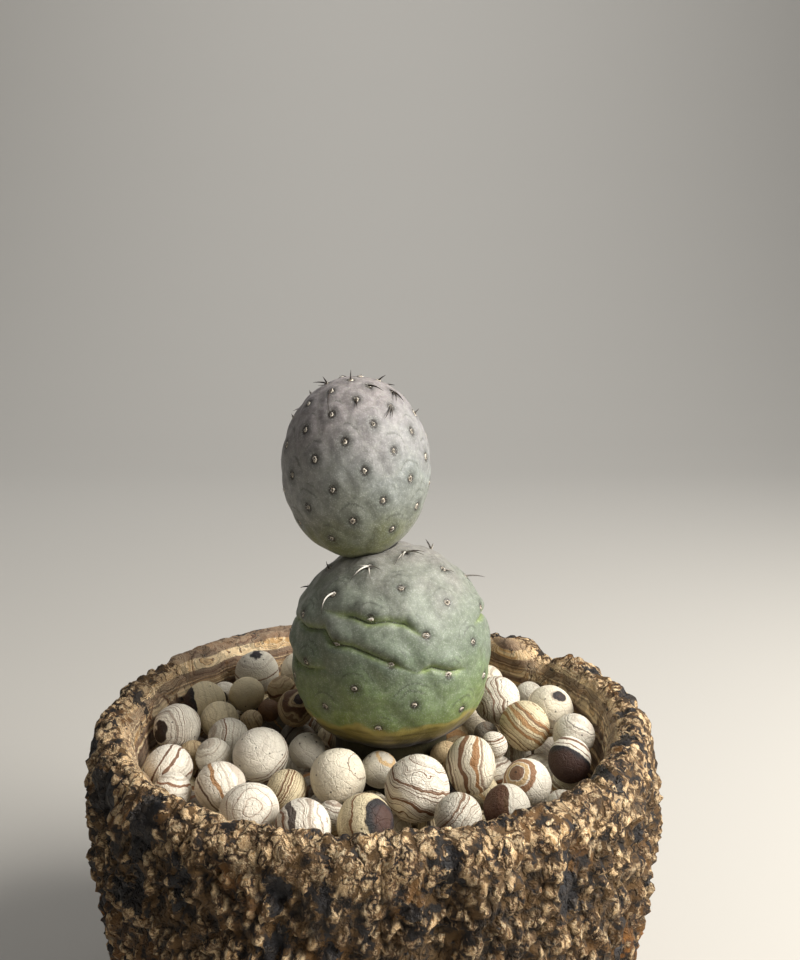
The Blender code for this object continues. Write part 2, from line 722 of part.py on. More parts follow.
def main():
    """Build every piece of the potted plant."""
    clear_scene()
    make_bowl()
    make_soil()
    places, radii = settled_places()
    make_bed(places, radii)
    make_pebbles(places, radii)
    make_plant()


main()
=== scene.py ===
"""Looks of the potted tephrocactus, laid out as a Blender add-on and run as a script.

Lengths are in millimetres and turned into metres by MM. +Z is up, the origin is the centre of the
bowl's foot, and the front of the bowl faces -Y.
"""

import math
import random
from functools import partial

import bmesh
import bpy
from bpy.props import FloatProperty, FloatVectorProperty, IntProperty, PointerProperty
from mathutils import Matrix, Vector, kdtree, noise


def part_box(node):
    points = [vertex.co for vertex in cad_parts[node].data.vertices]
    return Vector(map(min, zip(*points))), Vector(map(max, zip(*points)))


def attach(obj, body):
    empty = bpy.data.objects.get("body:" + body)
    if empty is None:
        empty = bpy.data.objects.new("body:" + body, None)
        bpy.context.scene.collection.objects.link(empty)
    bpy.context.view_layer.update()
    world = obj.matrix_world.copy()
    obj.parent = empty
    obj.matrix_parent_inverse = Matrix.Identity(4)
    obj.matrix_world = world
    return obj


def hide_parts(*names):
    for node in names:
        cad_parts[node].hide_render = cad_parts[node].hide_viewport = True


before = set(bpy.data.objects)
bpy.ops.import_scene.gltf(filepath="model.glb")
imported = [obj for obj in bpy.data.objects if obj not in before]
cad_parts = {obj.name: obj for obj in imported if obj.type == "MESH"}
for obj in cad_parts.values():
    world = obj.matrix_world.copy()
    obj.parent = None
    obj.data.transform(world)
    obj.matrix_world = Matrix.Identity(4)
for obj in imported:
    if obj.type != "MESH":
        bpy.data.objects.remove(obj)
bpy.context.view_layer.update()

bl_info = {
    "name": "Potted Tephrocactus",
    "version": (1, 0, 0),
    "blender": (4, 5, 0),
    "location": "View3D > Sidebar > Cactus",
    "description": "Builds the pieces of a potted tephrocactus and their finishes",
    "category": "Object",
}

MM = 0.001
POT_BOX = [Vector(corner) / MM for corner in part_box("pot")]

# Bowl
FOOT_RADIUS = 46.0
BELLY_RADIUS = 62.6
BELLY_HEIGHT = 68.0
BELLY_FULLNESS = 2.3
FOOT_CHAMFER = 1.0
FLOOR_THICKNESS = 9.0
DRAIN_RADIUS = 6.0
MOUTH_RADIUS = 52.0
MOUTH_HEIGHT = 70.0
FLOOR_RADIUS = 38.0
FLOOR_CURVE_HEIGHT = 39.0
FLOOR_FILLET = 6.0
RIM_ROLL_HEIGHT = 12.0
RIM_BACK_LIFT = 2.4
RIGHT_BULGE = 1.0
RIDGE_HEIGHT = 2.0
RIDGE_WIDTH = 7.0
RIDGE_LENGTH = 16.0
LUMP_HEIGHT = 1.2
LUMP_SIZE = 5.5
FURROW_ANGLES = (-87.0, -78.0)
FURROW_DEPTH = 1.2
FURROW_WIDTH = 2.4
RIM_WANDER = 0.9
RIM_WANDER_PITCH = 3.1
KNOB_ANGLE = 48.0
KNOB_WIDTH = 5.5
KNOB_RISE = 1.2
KNOB_BULGE = 2.4
KNOB_HEIGHTS = (74.0, 80.0)
NOTCH_ANGLE = 38.0
NOTCH_WIDTH = 4.5
NOTCH_DEPTH = 4.0
SMOOTH_SPAN = (100.0, 112.0, 148.0, 160.0)
SMOOTH_SHARE = 0.85
SMOOTH_RADII = (62.0, 58.5)
SMOOTH_HEIGHTS = (60.0, 68.0)
FOOT_FADE = (0.5, 8.0)
LIFT_HEIGHTS = (55.0, 80.0)
WALL_ROW = 0.95
RIM_ROWS = 30
INSIDE_ROW = 2.0
CRUMB_STRETCH = 0.72
CRACK_WIDTH = 0.26
CRUMB_SWELL = 1.5
CRUMB_SEED = 11
CRUMB_SHARES = (0.75, 0.25, 0.3)
SMALL_CRUMB_SHIFT = (50, 0, 0)
INNER_SHARE = 0.12
RIM_CALM = 0.45
RIM_SWELL = 1.2
BOX_MARGIN = 0.05
BOX_EASE = 1.5
CHAR_SIZE = 8.0
CHAR_STRETCH = 1.7
CHAR_RANGE = (0.22, 0.42)
CHAR_PIT = 0.9
RUST_SIZE = 14.0
RUST_HEIGHTS = (62.0, 30.0)
BOWL_VALUES = ("crack", "char", "rust", "inner")

# Filling
SOIL_TOP = 58.0
RECESS_DEPTH = 12.0
GRIT_TOP = 61.6
BED_TOP = 68.2
BED_SLOPE = 0.07
BED_PITCH = 9.6
BED_RELIEF = 1.5
BED_SEED = 23
GRIT_RELIEF = 0.8
GRIT_SIZE = 1.7
GAP = 0.35

# Stem segments
LOWER_CENTRE = (4.3, 3.5, 95.3)
LOWER_HALF_WIDTH = 22.9
LOWER_HALF_HEIGHT = 23.7
UPPER_CENTRE = (-3.5, 3.5, 136.5)
UPPER_HALF_WIDTH = 16.8
UPPER_HALF_HEIGHT = 20.6
ROOT_RADIUS = 13.0
# Spirals of areoles: count, turn from one to the next, first azimuth, crowding, lowest height share
LOWER_SPIRAL = (68, -137.508, 76.0, 1.0, -0.62)
UPPER_SPIRAL = (78, 99.5, 320.0, 1.3, -0.7)
LOWER_MESH = (340, 210)
UPPER_MESH = (300, 180)
TUBERCLE_HEIGHT = 0.3
TUBERCLE_FURROW = 0.16
LOWER_SWELL = 1.5
SKIN_VALUES = ("areole", "border", "fold", "above")
FAR_OFF = 20.0
DIMPLE_DEPTH = 0.3
DIMPLE_WIDTH = 1.2
BASE_FULLNESS = 0.09
FOLDS = (
    ((-135, 107), (-113, 107), (-103, 106), (-91, 106.5), (-81, 106), (-71, 103)),
    ((-178, 101), (-164, 103), (-148, 102.5), (-132, 103.5), (-124, 101), (-112, 101), (-99, 99.5),
     (-89, 98), (-75, 95.5)),
    ((-75, 95.5), (-67, 96.5), (-56, 95), (-44, 94.5)),
    ((-188, 95), (-172, 95.5), (-155, 93.5), (-142, 93.8), (-128, 95.5)),
    ((-30, 103), (-10, 104), (12, 101.5), (30, 100.5)),
    ((15, 108), (40, 106), (62, 107), (80, 104.5)),
    ((50, 97), (75, 96), (98, 98.5), (120, 97.5)),
    ((105, 104), (130, 103), (150, 105), (172, 102.5), (195, 102)),
)
FOLD_DEPTH = 0.62
FOLD_WIDTH = 0.95
FOLD_LIP = 0.5
FOLD_LIP_RISE = 2.4
FOLD_LIP_WIDTH = 2.0
FOLD_TAPER = 0.22
FOLD_PINCH = 0.4
FOLD_PINCH_WIDTH = 0.35
LOWER_SKIN = ((0, "#7A7A3C"), (0.2, "#7C8F4C"), (0.36, "#788B60"), (0.55, "#717E6A"),
              (0.8, "#82897C"), (1, "#8B8983"))
UPPER_SKIN = ((0, "#787A46"), (0.1, "#727654"), (0.24, "#797E72"), (0.5, "#898E8B"),
              (0.8, "#969294"), (1, "#999191"))
CORK_TOP = 86.6
# Mauve tint on one side, partly the skin's own colour and partly painted shade: where it begins and is
# full, its strength and its side
LOWER_BLUSH_AND_SHADE = ((112, 132), 0.5, (0.28, 0, 0.96))
UPPER_BLUSH_AND_SHADE = ((90, 112), 0.45, (-0.75, 0, 0.66))

# Wool: half width and half height. Spines: azimuth and height of the areole, clock angle, lift off the
# skin, length, and where they differ, how pale the base is and the bend as a share of the length.
UPPER_WOOL = (0.5, 0.62)
LOWER_WOOL = (0.78, 0.55)
WOOL_THICKNESS = 0.26
WOOL_SINK = 0.06
BRISTLES = 5
BRISTLE_LENGTH = (0.4, 0.9)
BRISTLE_RADIUS = 0.07
SPINE_RADIUS = 0.24
SPINE_SINK = 0.6
SPINE_BEND = 0.06
SPINE_TAPER = (0.93, 1.6)
BACK_SPINE_SEED = 7
BACK_SHARE = 0.25
UPPER_BACK_FROM = 0.6
LOWER_BACK_FROM = 0.5
WOOL_CLEARANCE = 3.0
SPINE_CLEARANCE = 1.5
WOOL_SEED = 5
UPPER_SPINES = (
    (-163, 0.92, -138, 25, 3.5),
    (-163, 0.92, -84, 40, 2.6),
    (-102, 0.96, -6, 55, 2.4),
    (-125, 0.85, 154, -6, 6.8, 0.0, 0.15),
    (-87, 0.78, 177, 10, 3.0),
    (-64, 0.90, 156, 15, 4.4, 0.0, 0.1),
    (-2, 0.95, -135, 50, 2.4),
    (-25, 0.83, -130, 3, 5.2, 0.0, 0.1),
    (-25, 0.83, 180, 2, 3.6, 0.0, 0.1),
    (-49, 0.69, -132, 3, 4.6, 0.1, 0.08),
    (-49, 0.69, -156, 8, 3.2, 0.1, 0.08),
    (-11, 0.60, 72, 45, 1.8),
    (174, 0.80, -81, 45, 1.6),
    (-172, 0.56, -57, 45, 1.2),
)
LOWER_SPINES = (
    (-134, 0.63, 178, 8, 5.2, 1.0, 0.24),
    (-134, 0.63, -120, 25, 1.8, 1.0, 0.1),
    (-114, 0.87, -155, 5, 5.6, 1.0, 0.16),
    (-114, 0.87, 153, 4, 4.8, 1.0, 0.12),
    (-114, 0.87, 118, 20, 5.0, 0.3, 0.1),
    (-114, 0.87, -130, 25, 3.0, 0.8, 0.1),
    (-62, 0.96, -132, 2, 6.8, 0.6, 0.1),
    (-62, 0.96, 155, 20, 5.4, 0.2, 0.1),
    (-62, 0.96, -141, 6, 5.0, 0.9, 0.15),
    (-62, 0.96, 120, 15, 4.5, 0.0, 0.1),
    (23, 0.90, -60, 25, 3.6, 0.9, 0.15),
    (23, 0.90, -15, 30, 2.6, 0.2),
    (23, 0.90, 60, 35, 3.2),
    (-29, 0.81, 144, 15, 2.6, 0.4),
    (-29, 0.81, -110, 20, 2.6, 0.9, 0.1),
    (3, 0.66, 170, 45, 4.8, 0.2),
    (-167, 0.78, 30, 40, 2.4),
    (-167, 0.78, -60, 50, 2.0),
    (173, 0.54, -150, 40, 2.6),
    (-82, 0.72, 80, 15, 1.5, 0.6, 0.1),
    (-102, 0.49, -110, 15, 1.3, 0.8, 0.1),
    (-69, 0.34, 110, 15, 1.2, 0.8, 0.1),
    (-122, 0.25, -90, 15, 1.2, 0.8, 0.1),
)

# Pebbles: the front viewpoint that their layer directions are given from, and their clays
VIEWPOINT = (6.4, -220.5, 166.0)
CAMERA_PITCH = 8.25
PEBBLE_COUNT = 54
PEBBLE_SEED = 31
TOP_SUBDIVISIONS = 5
LOWER_SUBDIVISIONS = 4
PLANAR_TILT = 50.0
ROLL_UNEVEN = 0.035
ROLL_RIPPLE = 0.006
PEBBLE_VALUES = ("lines", "cap", "band_1", "band_2", "band_3")
NO_CAP = (9, 0)
NO_BAND = (99, 0, 0)
CLAYS = {
    "white": "#EBE4D5",
    "cream": "#E8DFCA",
    "buff": "#DECFAC",
    "tan": "#C2AC86",
    "grey": "#D5CFC0",
    "slate": "#8B8478",
    "brown": "#6E5034",
}

# Each pebble: clay, clock angle and tilt of its layers, lines (pitch, strength, waviness), specks, and
# where it has them, thick bands (middle, half width, tone) and a cap (edge, tone). Middles and edges
# are shares of the radius.
# Tones run from 0, orange brown, over 0.5, dark brown, to 1, blue black.
LOOKS = (
    ("white", 190, 52, (0.7, 0.6, 1.3), 0.5, ((0.2, 0.02, 0.4),), (0.93, 0.7)),
    ("white", -32, 80, (0.5, 0.35, 0.9), 0.1,
     ((-0.28, 0.05, 0.45), (0.14, 0.06, 0.4), (0.8, 0.03, 0.4))),
    ("white", 80, 75, (0.5, 0.4, 0.8), 0.1, ((0.45, 0.05, 0.3),)),
    ("grey", 120, 70, (0.6, 0.4, 0.6), 0.2),
    ("buff", 185, 80, (0.4, 0.25, 0.6), 0.25, (), (0.55, 0.95)),
    ("white", 200, 30, (0.4, 0.2, 0.5), 0.1, ((0.62, 0.05, 0.85),)),
    ("buff", 80, 60, (0.3, 0.1, 0.5), 0.2),
    ("buff", 30, 75, (0.5, 0.3, 1.0), 0.25),
    ("grey", 95, 62, (0.4, 0.25, 0.5), 0.2, ((0.1, 0.03, 0.4),), (0.93, 0.95)),
    ("cream", 40, 60, (0.4, 0.2, 0.5), 0.2),
    ("tan", 110, 70, (0.6, 0.5, 0.8), 0.2, ((0.1, 0.1, 0.4),)),
    ("tan", 60, 35, (0.9, 0.7, 1.2), 0.2, ((0.55, 0.1, 0.5),), (0.8, 0.7)),
    ("brown", 20, 70, (0.7, 0.6, 0.8), 0.2),
    ("tan", 20, 70, (0.7, 0.6, 0.8), 0.2),
    ("grey", 170, 75, (0.5, 0.5, 0.9), 0.2, ((0.5, 0.04, 0.4),)),
    ("tan", 20, 70, (0.6, 0.5, 0.8), 0.2),
    ("white", 130, 38, (0.6, 0.14, 0.6), 0.3,
     ((-0.05, 0.02, 0.35), (-0.17, 0.035, 0.5), (0.07, 0.012, 0.3))),
    ("grey", 40, 70, (0.4, 0.2, 0.6), 0.7),
    ("white", 25, 72, (0.5, 0.4, 0.9), 0.15, ((-0.42, 0.04, 0.5), (0.12, 0.09, 0.12))),
    ("white", 55, 12, (0.5, 0.15, 0.9), 0.0,
     ((0.8, 0.008, 0.3), (0.56, 0.012, 0.35), (0.3, 0.012, 0.3))),
    ("buff", 145, 70, (1.0, 1.0, 0.7), 0.1, ((0.2, 0.05, 0.4),)),
    ("cream", 30, 60, (0.25, 0.12, 0.5), 0.9, ((0.88, 0.01, 0.4),)),
    ("grey", 60, 60, (0.4, 0.2, 0.5), 0.5, ((0.85, 0.05, 0.0),)),
    ("white", 20, 68, (0.6, 0.6, 1.2), 0.0,
     ((-0.62, 0.1, 0.35), (-0.02, 0.13, 0.75), (-0.3, 0.04, 0.3))),
    ("white", 75, 70, (0.8, 0.7, 0.6), 0.1),
    ("buff", 10, 48, (0.5, 0.3, 0.7), 0.3, ((0.15, 0.03, 0.3),), (0.5, 0.92)),
    ("cream", 60, 60, (0.5, 0.4, 0.6), 0.2),
    ("tan", 60, 60, (0.6, 0.5, 0.6), 0.2, ((0.2, 0.08, 0.3),)),
    ("white", 60, 60, (0.5, 0.5, 0.6), 0.1, ((0.2, 0.03, 0.8),)),
    ("white", 68, 78, (1.3, 1.0, 1.3), 0.35,
     ((-0.35, 0.035, 0.4), (0.3, 0.02, 0.4), (0.05, 0.015, 0.5))),
    ("tan", 60, 60, (0.4, 0.3, 0.6), 0.7),
    ("cream", 4, 80, (0.8, 0.8, 1.1), 0.1,
     ((-0.12, 0.08, 0.35), (0.3, 0.07, 0.15), (-0.75, 0.06, 0.5))),
    ("slate", 60, 60, (0.6, 0.5, 0.6), 0.3),
    ("white", 100, 75, (1.2, 1.0, 0.8), 0.1),
    ("white", 140, 36, (0.3, 0.1, 0.15), 0.0,
     ((0.52, 0.085, 0.24), (0.69, 0.06, 0.0), (0.9, 0.13, 0.34)),
     (0.95, 0.6)),
    ("buff", 52, 82, (0.9, 0.9, 0.6), 0.1,
     ((-0.1, 0.06, 0.12), (0.22, 0.07, 0.1), (0.52, 0.05, 0.2))),
    ("white", 15, 80, (1.0, 0.9, 1.5), 0.1, ((0.0, 0.03, 0.3),)),
    ("cream", 30, 60, (0.4, 0.4, 0.6), 0.1),
    ("cream", 55, 42, (0.3, 0.4, 0.8), 0.3, ((-0.05, 0.015, 0.35),), (0.82, 0.85)),
    ("grey", 60, 60, (0.4, 0.3, 0.6), 0.2),
    ("white", 60, 60, (0.5, 0.3, 0.9), 1.0, ((0.7, 0.015, 0.6),)),
    ("white", 250, 70, (0.5, 0.4, 0.8), 0.0, ((-0.62, 0.07, 0.4), (-0.3, 0.03, 0.4)), (-0.12, 0.95)),
    ("grey", 178, 62, (0.5, 0.3, 0.8), 0.1, (), (0.3, 0.45)),
    ("grey", 145, 70, (1.1, 0.9, 0.9), 0.1),
    ("grey", 60, 60, (0.6, 0.5, 0.6), 0.2),
    ("cream", 60, 60, (0.6, 0.5, 0.6), 0.2),
    ("slate", 60, 60, (0.5, 0.4, 0.6), 0.2, (), (0.0, 0.95)),
    ("cream", 40, 60, (0.8, 0.8, 0.7), 0.2),
    ("white", 120, 70, (1.0, 0.9, 0.7), 0.2),
    ("tan", 150, 60, (0.8, 0.8, 0.7), 0.2, ((0.2, 0.1, 0.3),)),
    ("white", 30, 60, (0.5, 0.5, 0.6), 0.2, (), (0.5, 0.6)),
    ("buff", 70, 60, (0.9, 0.8, 0.7), 0.2),
    ("cream", 10, 60, (0.6, 0.5, 0.6), 0.4),
    ("white", 80, 60, (0.9, 0.9, 0.7), 0.2),
)


# Stage, in metres
FLOOR_HALF_WIDTH = 3.0
FLOOR_FRONT = -2.0
SWEEP_START = 1.0
SWEEP_RADIUS = 1.0
BACKDROP_HEIGHT = 4.0
AIR_COLOUR = (1.0, 0.97, 0.93)


# Helpers

def hex_colour(text):
    """A linear colour from an sRGB hex value."""
    parts = [int(text[i:i + 2], 16) / 255 for i in (1, 3, 5)]
    return tuple(p / 12.92 if p <= 0.04045 else ((p + 0.055) / 1.055) ** 2.4 for p in parts)


def smoothstep(low, high, value):
    """Ease from 0 at low to 1 at high."""
    t = min(1.0, max(0.0, (value - low) / (high - low)))
    return t * t * (3 - 2 * t)


def bell(distance, width):
    """1 at no distance, falling away over the width."""
    return math.exp(-(distance / width) ** 2)


def turn_between(first, second):
    """Signed turn in degrees from the second direction to the first, the short way round."""
    return (first - second + 180) % 360 - 180


def add_object(name, data):
    """Put a new object into the scene."""
    made = bpy.data.objects.new(name, data)
    bpy.context.scene.collection.objects.link(made)
    return made


def smooth_object(name, bm, material):
    """Turn a bmesh into a smooth object with one material."""
    mesh = bpy.data.meshes.new(name)
    bm.to_mesh(mesh)
    bm.free()
    mesh.shade_smooth()
    mesh.materials.append(material)
    return add_object(name, mesh)


def add_piece(name, bm, material, slot, *nodes):
    """Turn a bmesh in millimetres into a piece in metres that rides on the object."""
    bmesh.ops.recalc_face_normals(bm, faces=bm.faces)
    bmesh.ops.scale(bm, vec=(MM, MM, MM), verts=bm.verts)
    piece = smooth_object(name, bm, material)
    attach(piece, "root")
    if nodes:
        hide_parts(*nodes)
    return piece


def turned(profile, steps, closed):
    """A bmesh turned around Z from a profile of (radius, height) points."""
    bm = bmesh.new()
    verts = [bm.verts.new((radius, 0, height)) for radius, height in profile]
    pairs = list(zip(verts, verts[1:]))
    if closed:
        pairs.append((verts[-1], verts[0]))
    edges = [bm.edges.new(pair) for pair in pairs]
    bmesh.ops.spin(bm, geom=verts + edges, cent=(0, 0, 0), axis=(0, 0, 1), angle=math.tau,
                   steps=steps, use_merge=True)
    bmesh.ops.remove_doubles(bm, verts=bm.verts, dist=1e-4)
    return bm


def extruded(bm, edges):
    """Extrude edges; the new edges along the far side and their vertices."""
    grown = bmesh.ops.extrude_edge_only(bm, edges=edges)["geom"]
    verts = [item for item in grown if isinstance(item, bmesh.types.BMVert)]
    edges = [item for item in grown if isinstance(item, bmesh.types.BMEdge)]
    return [edge for edge in edges if all(vertex in verts for vertex in edge.verts)], verts


# Materials. Pattern scales are cycles per millimetre.

EASED = {"interpolation_type": "SMOOTHSTEP"}
TINT = {"data_type": "RGBA"}


def as_colour(value):
    """A linear colour with its alpha, from hex text or from three numbers."""
    return (*(hex_colour(value) if isinstance(value, str) else value), 1)


def fill_node(tree, node, *values, **named):
    """Give a node its settings, values and links.

    Plain values fill its shown sockets in order, a name with a capital fills the socket of that name,
    and every other name is a setting. A value is a number, a colour, a socket, or a node, whose first
    shown output is then meant.
    """
    for name, value in named.items():
        if name[0].islower():
            setattr(node, name, value)
    wanted = list(zip([socket for socket in node.inputs if socket.enabled], values))
    wanted += [(node.inputs[name.replace("_", " ")], value)
               for name, value in named.items() if name[0].isupper()]
    for socket, value in wanted:
        if isinstance(value, bpy.types.Node):
            value = next(output for output in value.outputs if output.enabled)
        if isinstance(value, bpy.types.NodeSocket):
            tree.links.new(value, socket)
        else:
            socket.default_value = as_colour(value) if socket.type == "RGBA" else value
    return node


def add_node(tree, kind, *values, stops=(), **named):
    """Add a filled node; a colour ramp also gets its (place, colour) stops."""
    node = fill_node(tree, tree.nodes.new("ShaderNode" + kind), *values, **named)
    if stops:
        elements = node.color_ramp.elements
        elements.remove(elements[1])
        elements[0].position = stops[0][0]
        for place, _ in stops[1:]:
            elements.new(place)
        for element, (_, colour) in zip(elements, stops):
            element.color = as_colour(colour)
    return node


def new_material(name):
    """A node material, a call that adds nodes, object coordinates in mm, a call that fills the shader."""
    material = bpy.data.materials.new(name)
    material.use_nodes = True
    tree = material.node_tree
    add = partial(add_node, tree)
    place = add("VectorMath", add("TexCoord").outputs["Object"], 1 / MM, operation="SCALE")
    return material, add, place, partial(fill_node, tree, tree.nodes["Principled BSDF"])


def bark_stoneware(settings):
    """Marbled stoneware, torn open by hand while wet and fired with an iron wash.

    Pale crumbs with thin brown layer lines, painted browner at their edges as shade, stand between
    cracks painted dark as shade; the wash leaves rust in the hollows and patches of char with a slight
    gloss.
    """
    material, add, place, finish = new_material("bark_stoneware")
    crack, char, rust, inner = (
        add("Attribute", attribute_name=name).outputs["Fac"] for name in BOWL_VALUES)
    # The wet clay was dragged about by up to 2 mm, and by 0.5 mm at its torn edges
    bent = place
    for scale, detail, drag in ((0.3, 2, 4.0), (1.1, 3, 1.8)):
        stir = add("TexNoise", place, scale, detail).outputs["Color"]
        bent = add("VectorMath", stir, (drag,) * 3, bent, operation="MULTIPLY_ADD")
    # Crumbs 2.3 mm across, pulled upright, with gaps of uneven width
    upright = add("Mapping", bent, Scale=(1, 1, 0.62))
    edge = add("TexVoronoi", upright, 0.44, feature="DISTANCE_TO_EDGE")
    cell = add("TexVoronoi", upright, 0.44).outputs["Color"]
    gap_width = add("MapRange", add("TexNoise", place, 0.33, 2), 0.38, 0.66, -0.06, 0.2)
    standing = add("Math", edge, gap_width, operation="SUBTRACT")
    calm = add("Math", inner, 0.34, standing, operation="MULTIPLY_ADD")
    # Layer lines half a millimetre apart that wind through the clay, level on the inner wall
    winding = add("TexNoise", bent, 0.12, 1, Distortion=0.6)
    layers = add("Math", winding, settings.bowl_layers, operation="MULTIPLY")
    height = add("SeparateXYZ", place).outputs["Z"]
    rolling = add("Math", add("TexNoise", place, 0.07, 2), 4, height, operation="MULTIPLY_ADD")
    level = add("Math", rolling, 0.8, operation="MULTIPLY")
    wound = add("Mix", inner, layers, level)
    pale, line = settings.bowl_pale, "#5E3418"
    colour = add("ValToRGB", add("TexNoise", wound, 1, 1.5, noise_dimensions="1D"), stops=(
        (0, "#9C7448"), (0.34, "#CAA573"), (0.385, pale), (0.415, line), (0.44, pale),
        (0.52, "#EFDAB4"), (0.545, line), (0.57, "#CDA979"), (0.62, pale), (0.645, line),
        (0.68, "#A8845C"), (1, "#7C583C")))
    # Brown slip wiped level over the inner wall and the smooth part: real streaks, laid on more widely
    # than they are as painted shade on the back of the rim
    slip_and_shade = add("TexNoise", level, 0.5, 3, noise_dimensions="1D")
    slip_and_shade = add("MapRange", slip_and_shade, 0.4, 0.53, 0, 0.86, **EASED)
    slip_and_shade = add("Math", slip_and_shade, inner, operation="MULTIPLY")
    colour = add("Mix", slip_and_shade, colour, "#6A5346", **TINT)
    # Each crumb has its own tone, and a cloud of wash lies over groups of them
    own = add("MapRange", add("SeparateColor", cell), 0, 1, 0.6, 1.2)
    colour = add("VectorMath", colour, own, operation="SCALE")
    cloud = add("TexNoise", bent, 0.35, 5)
    wash = add("Math", cloud, 3, -1.85, operation="MULTIPLY_ADD")
    wash = add("Math", rust, wash, operation="ADD", use_clamp=True)
    wash = add("Math", wash, 0.8, operation="MULTIPLY")
    colour = add("Mix", wash, colour, settings.bowl_rust, **TINT)
    # Painted shade: a crumb is painted browner towards its rounded edge, where shade falls, then darker
    # still in the gap
    edge_shade = add("MapRange", calm, 0.02, 0.17, 0.85, 0, **EASED)
    colour = add("Mix", edge_shade, colour, "#684728", **TINT)
    # Painted shade in the torn gaps and the deep cracks: near black where the cloud is low, elsewhere the
    # brown of the iron wash in the hollows
    gap_shade = add("MapRange", calm, -0.02, 0.08, 1, 0, **EASED)
    deep = add("MapRange", crack, 0.35, 0.9, 0, 0.95, **EASED)
    cracks = add("Math", gap_shade, deep, operation="MAXIMUM")
    gap_tone = add("MapRange", cloud, 0.4, 0.62, **EASED)
    gap_brown = add("Mix", rust, "#58401F", "#8A5618", **TINT)
    gap_shade_and_rust = add("Mix", gap_tone, settings.crack_shade, gap_brown, **TINT)
    colour = add("Mix", cracks, colour, gap_shade_and_rust, **TINT)
    # Char in torn patches of blue black, with a slight gloss
    torn = add("Math", add("TexNoise", bent, 0.45, 5), 2.2, char, operation="MULTIPLY_ADD")
    patch = add("MapRange", torn, 1.42, 1.56, 0, 0.94, **EASED)
    colour = add("Mix", patch, colour, settings.bowl_char, **TINT)
    gloss = add("MapRange", patch, 0, 1, 0.78, 0.6)
    # Relief of the crumbs, 0.7 mm, and of the grain
    relief = add("Bump", 1, 0.7 * MM, Height=add("MapRange", calm, -0.05, 0.3, **EASED))
    grain = add("Bump", 0.7, 0.35 * MM, Height=add("TexNoise", place, 1.9, 4), Normal=relief)
    finish(Base_Color=colour, Roughness=gloss, Normal=grain)
    return material


def agate_clay(settings):
    """Layered porcelain and stoneware clays, rolled by hand into balls and fired bare.

    The layers show as thin lines, thick bands, rings and caps on a chalky matte surface.
    """
    material, add, place, finish = new_material("agate_clay")
    layer = add("Attribute", attribute_name="layer").outputs["Fac"]
    clay = add("Attribute", attribute_name="clay").outputs["Color"]
    (pitch, strength, wave), (cap_edge, cap_tone, specks), *bands = (
        add("SeparateXYZ", add("Attribute", attribute_name=name).outputs["Vector"]).outputs
        for name in PEBBLE_VALUES)
    # The layers wander by up to 0.8 mm over 6 mm, and by 0.15 mm over 1 mm
    slow = add("Math", add("TexNoise", place, 0.16, 1.5), 4.2, -2.1, operation="MULTIPLY_ADD")
    slow = add("Math", slow, wave, operation="MULTIPLY")
    quick = add("Math", add("TexNoise", place, 0.9, 1), 0.5, -0.25, operation="MULTIPLY_ADD")
    shift = add("Math", slow, quick, operation="ADD")
    depth = add("Math", layer, shift, operation="ADD")
    # Thin lines at uneven spacing
    along = add("Math", depth, pitch, operation="MULTIPLY")
    none, part, full = ((share,) * 3 for share in (0, 0.55, 1))
    line = add("ValToRGB", add("TexNoise", along, 1, 1.5, noise_dimensions="1D"), stops=(
        (0, part), (0.3, part), (0.34, none), (0.405, none), (0.425, full), (0.445, full),
        (0.465, none), (0.53, none), (0.545, part), (0.56, part), (0.575, none), (0.63, none),
        (0.65, full), (0.68, full), (0.7, none)))
    line = add("Math", line, strength, operation="MULTIPLY")
    colour = add("Mix", line, clay, settings.pebble_line, **TINT)
    # Soft cloud in the clay, 4 mm across
    cloud = add("MapRange", add("TexNoise", place, 0.25, 3), 0.3, 0.7, 0.9, 1.05)
    colour = add("VectorMath", colour, cloud, operation="SCALE")
    # Thick bands, then the cap, from orange brown over dark brown to blue black
    tones = ((0, "#C8A878"), (0.12, "#A67848"), (0.3, "#7A4C26"), (0.6, "#40281A"),
             (0.85, "#38302E"), (1, "#23242C"))
    for middle, half, tone in bands:
        away = add("Math", depth, middle, operation="SUBTRACT")
        away = add("Math", away, operation="ABSOLUTE")
        inside = add("Math", half, away, operation="SUBTRACT")
        mask = add("MapRange", inside, -0.08, 0.1, 0, 0.92, **EASED)
        colour = add("Mix", mask, colour, add("ValToRGB", tone, stops=tones), **TINT)
    over = add("Math", depth, cap_edge, operation="SUBTRACT")
    covered = add("MapRange", over, -0.08, 0.12, **EASED)
    mottle = add("TexNoise", place, 0.45, 4)
    cap = add("Mix", 0.6, add("ValToRGB", cap_tone, stops=tones), mottle.outputs["Color"],
              blend_type="MULTIPLY", **TINT)
    # A cap is bluer at its rim and browner in the middle, where the clay is thinnest
    inwards = add("Math", mottle, 1.6, over, operation="MULTIPLY_ADD")
    thin = add("MapRange", inwards, 1.2, 2.6, 0, 0.55, **EASED)
    cap = add("Mix", thin, cap, "#5C3D30", **TINT)
    colour = add("Mix", covered, colour, cap, **TINT)
    # Specks 0.3 mm across, one every few millimetres
    dots = add("TexVoronoi", place, 0.6)
    pick = add("SeparateColor", dots.outputs["Color"]).outputs["Green"]
    chosen = add("Math", pick, specks, operation="LESS_THAN")
    small = add("MapRange", dots, 0.08, 0.17, 0.85, 0, **EASED)
    dot = add("Math", chosen, small, operation="MULTIPLY")
    colour = add("Mix", dot, colour, "#2C241E", **TINT)
    # Pores and a fine craze
    craze = add("TexVoronoi", place, 0.5, feature="DISTANCE_TO_EDGE")
    craze = add("MapRange", craze, 0, 0.05, 0, 0.35)
    height = add("Math", add("TexNoise", place, 2.2, 4), craze, operation="ADD")
    finish(Base_Color=colour, Roughness=0.68, Normal=add("Bump", 0.85, 0.3 * MM, Height=height))
    return material


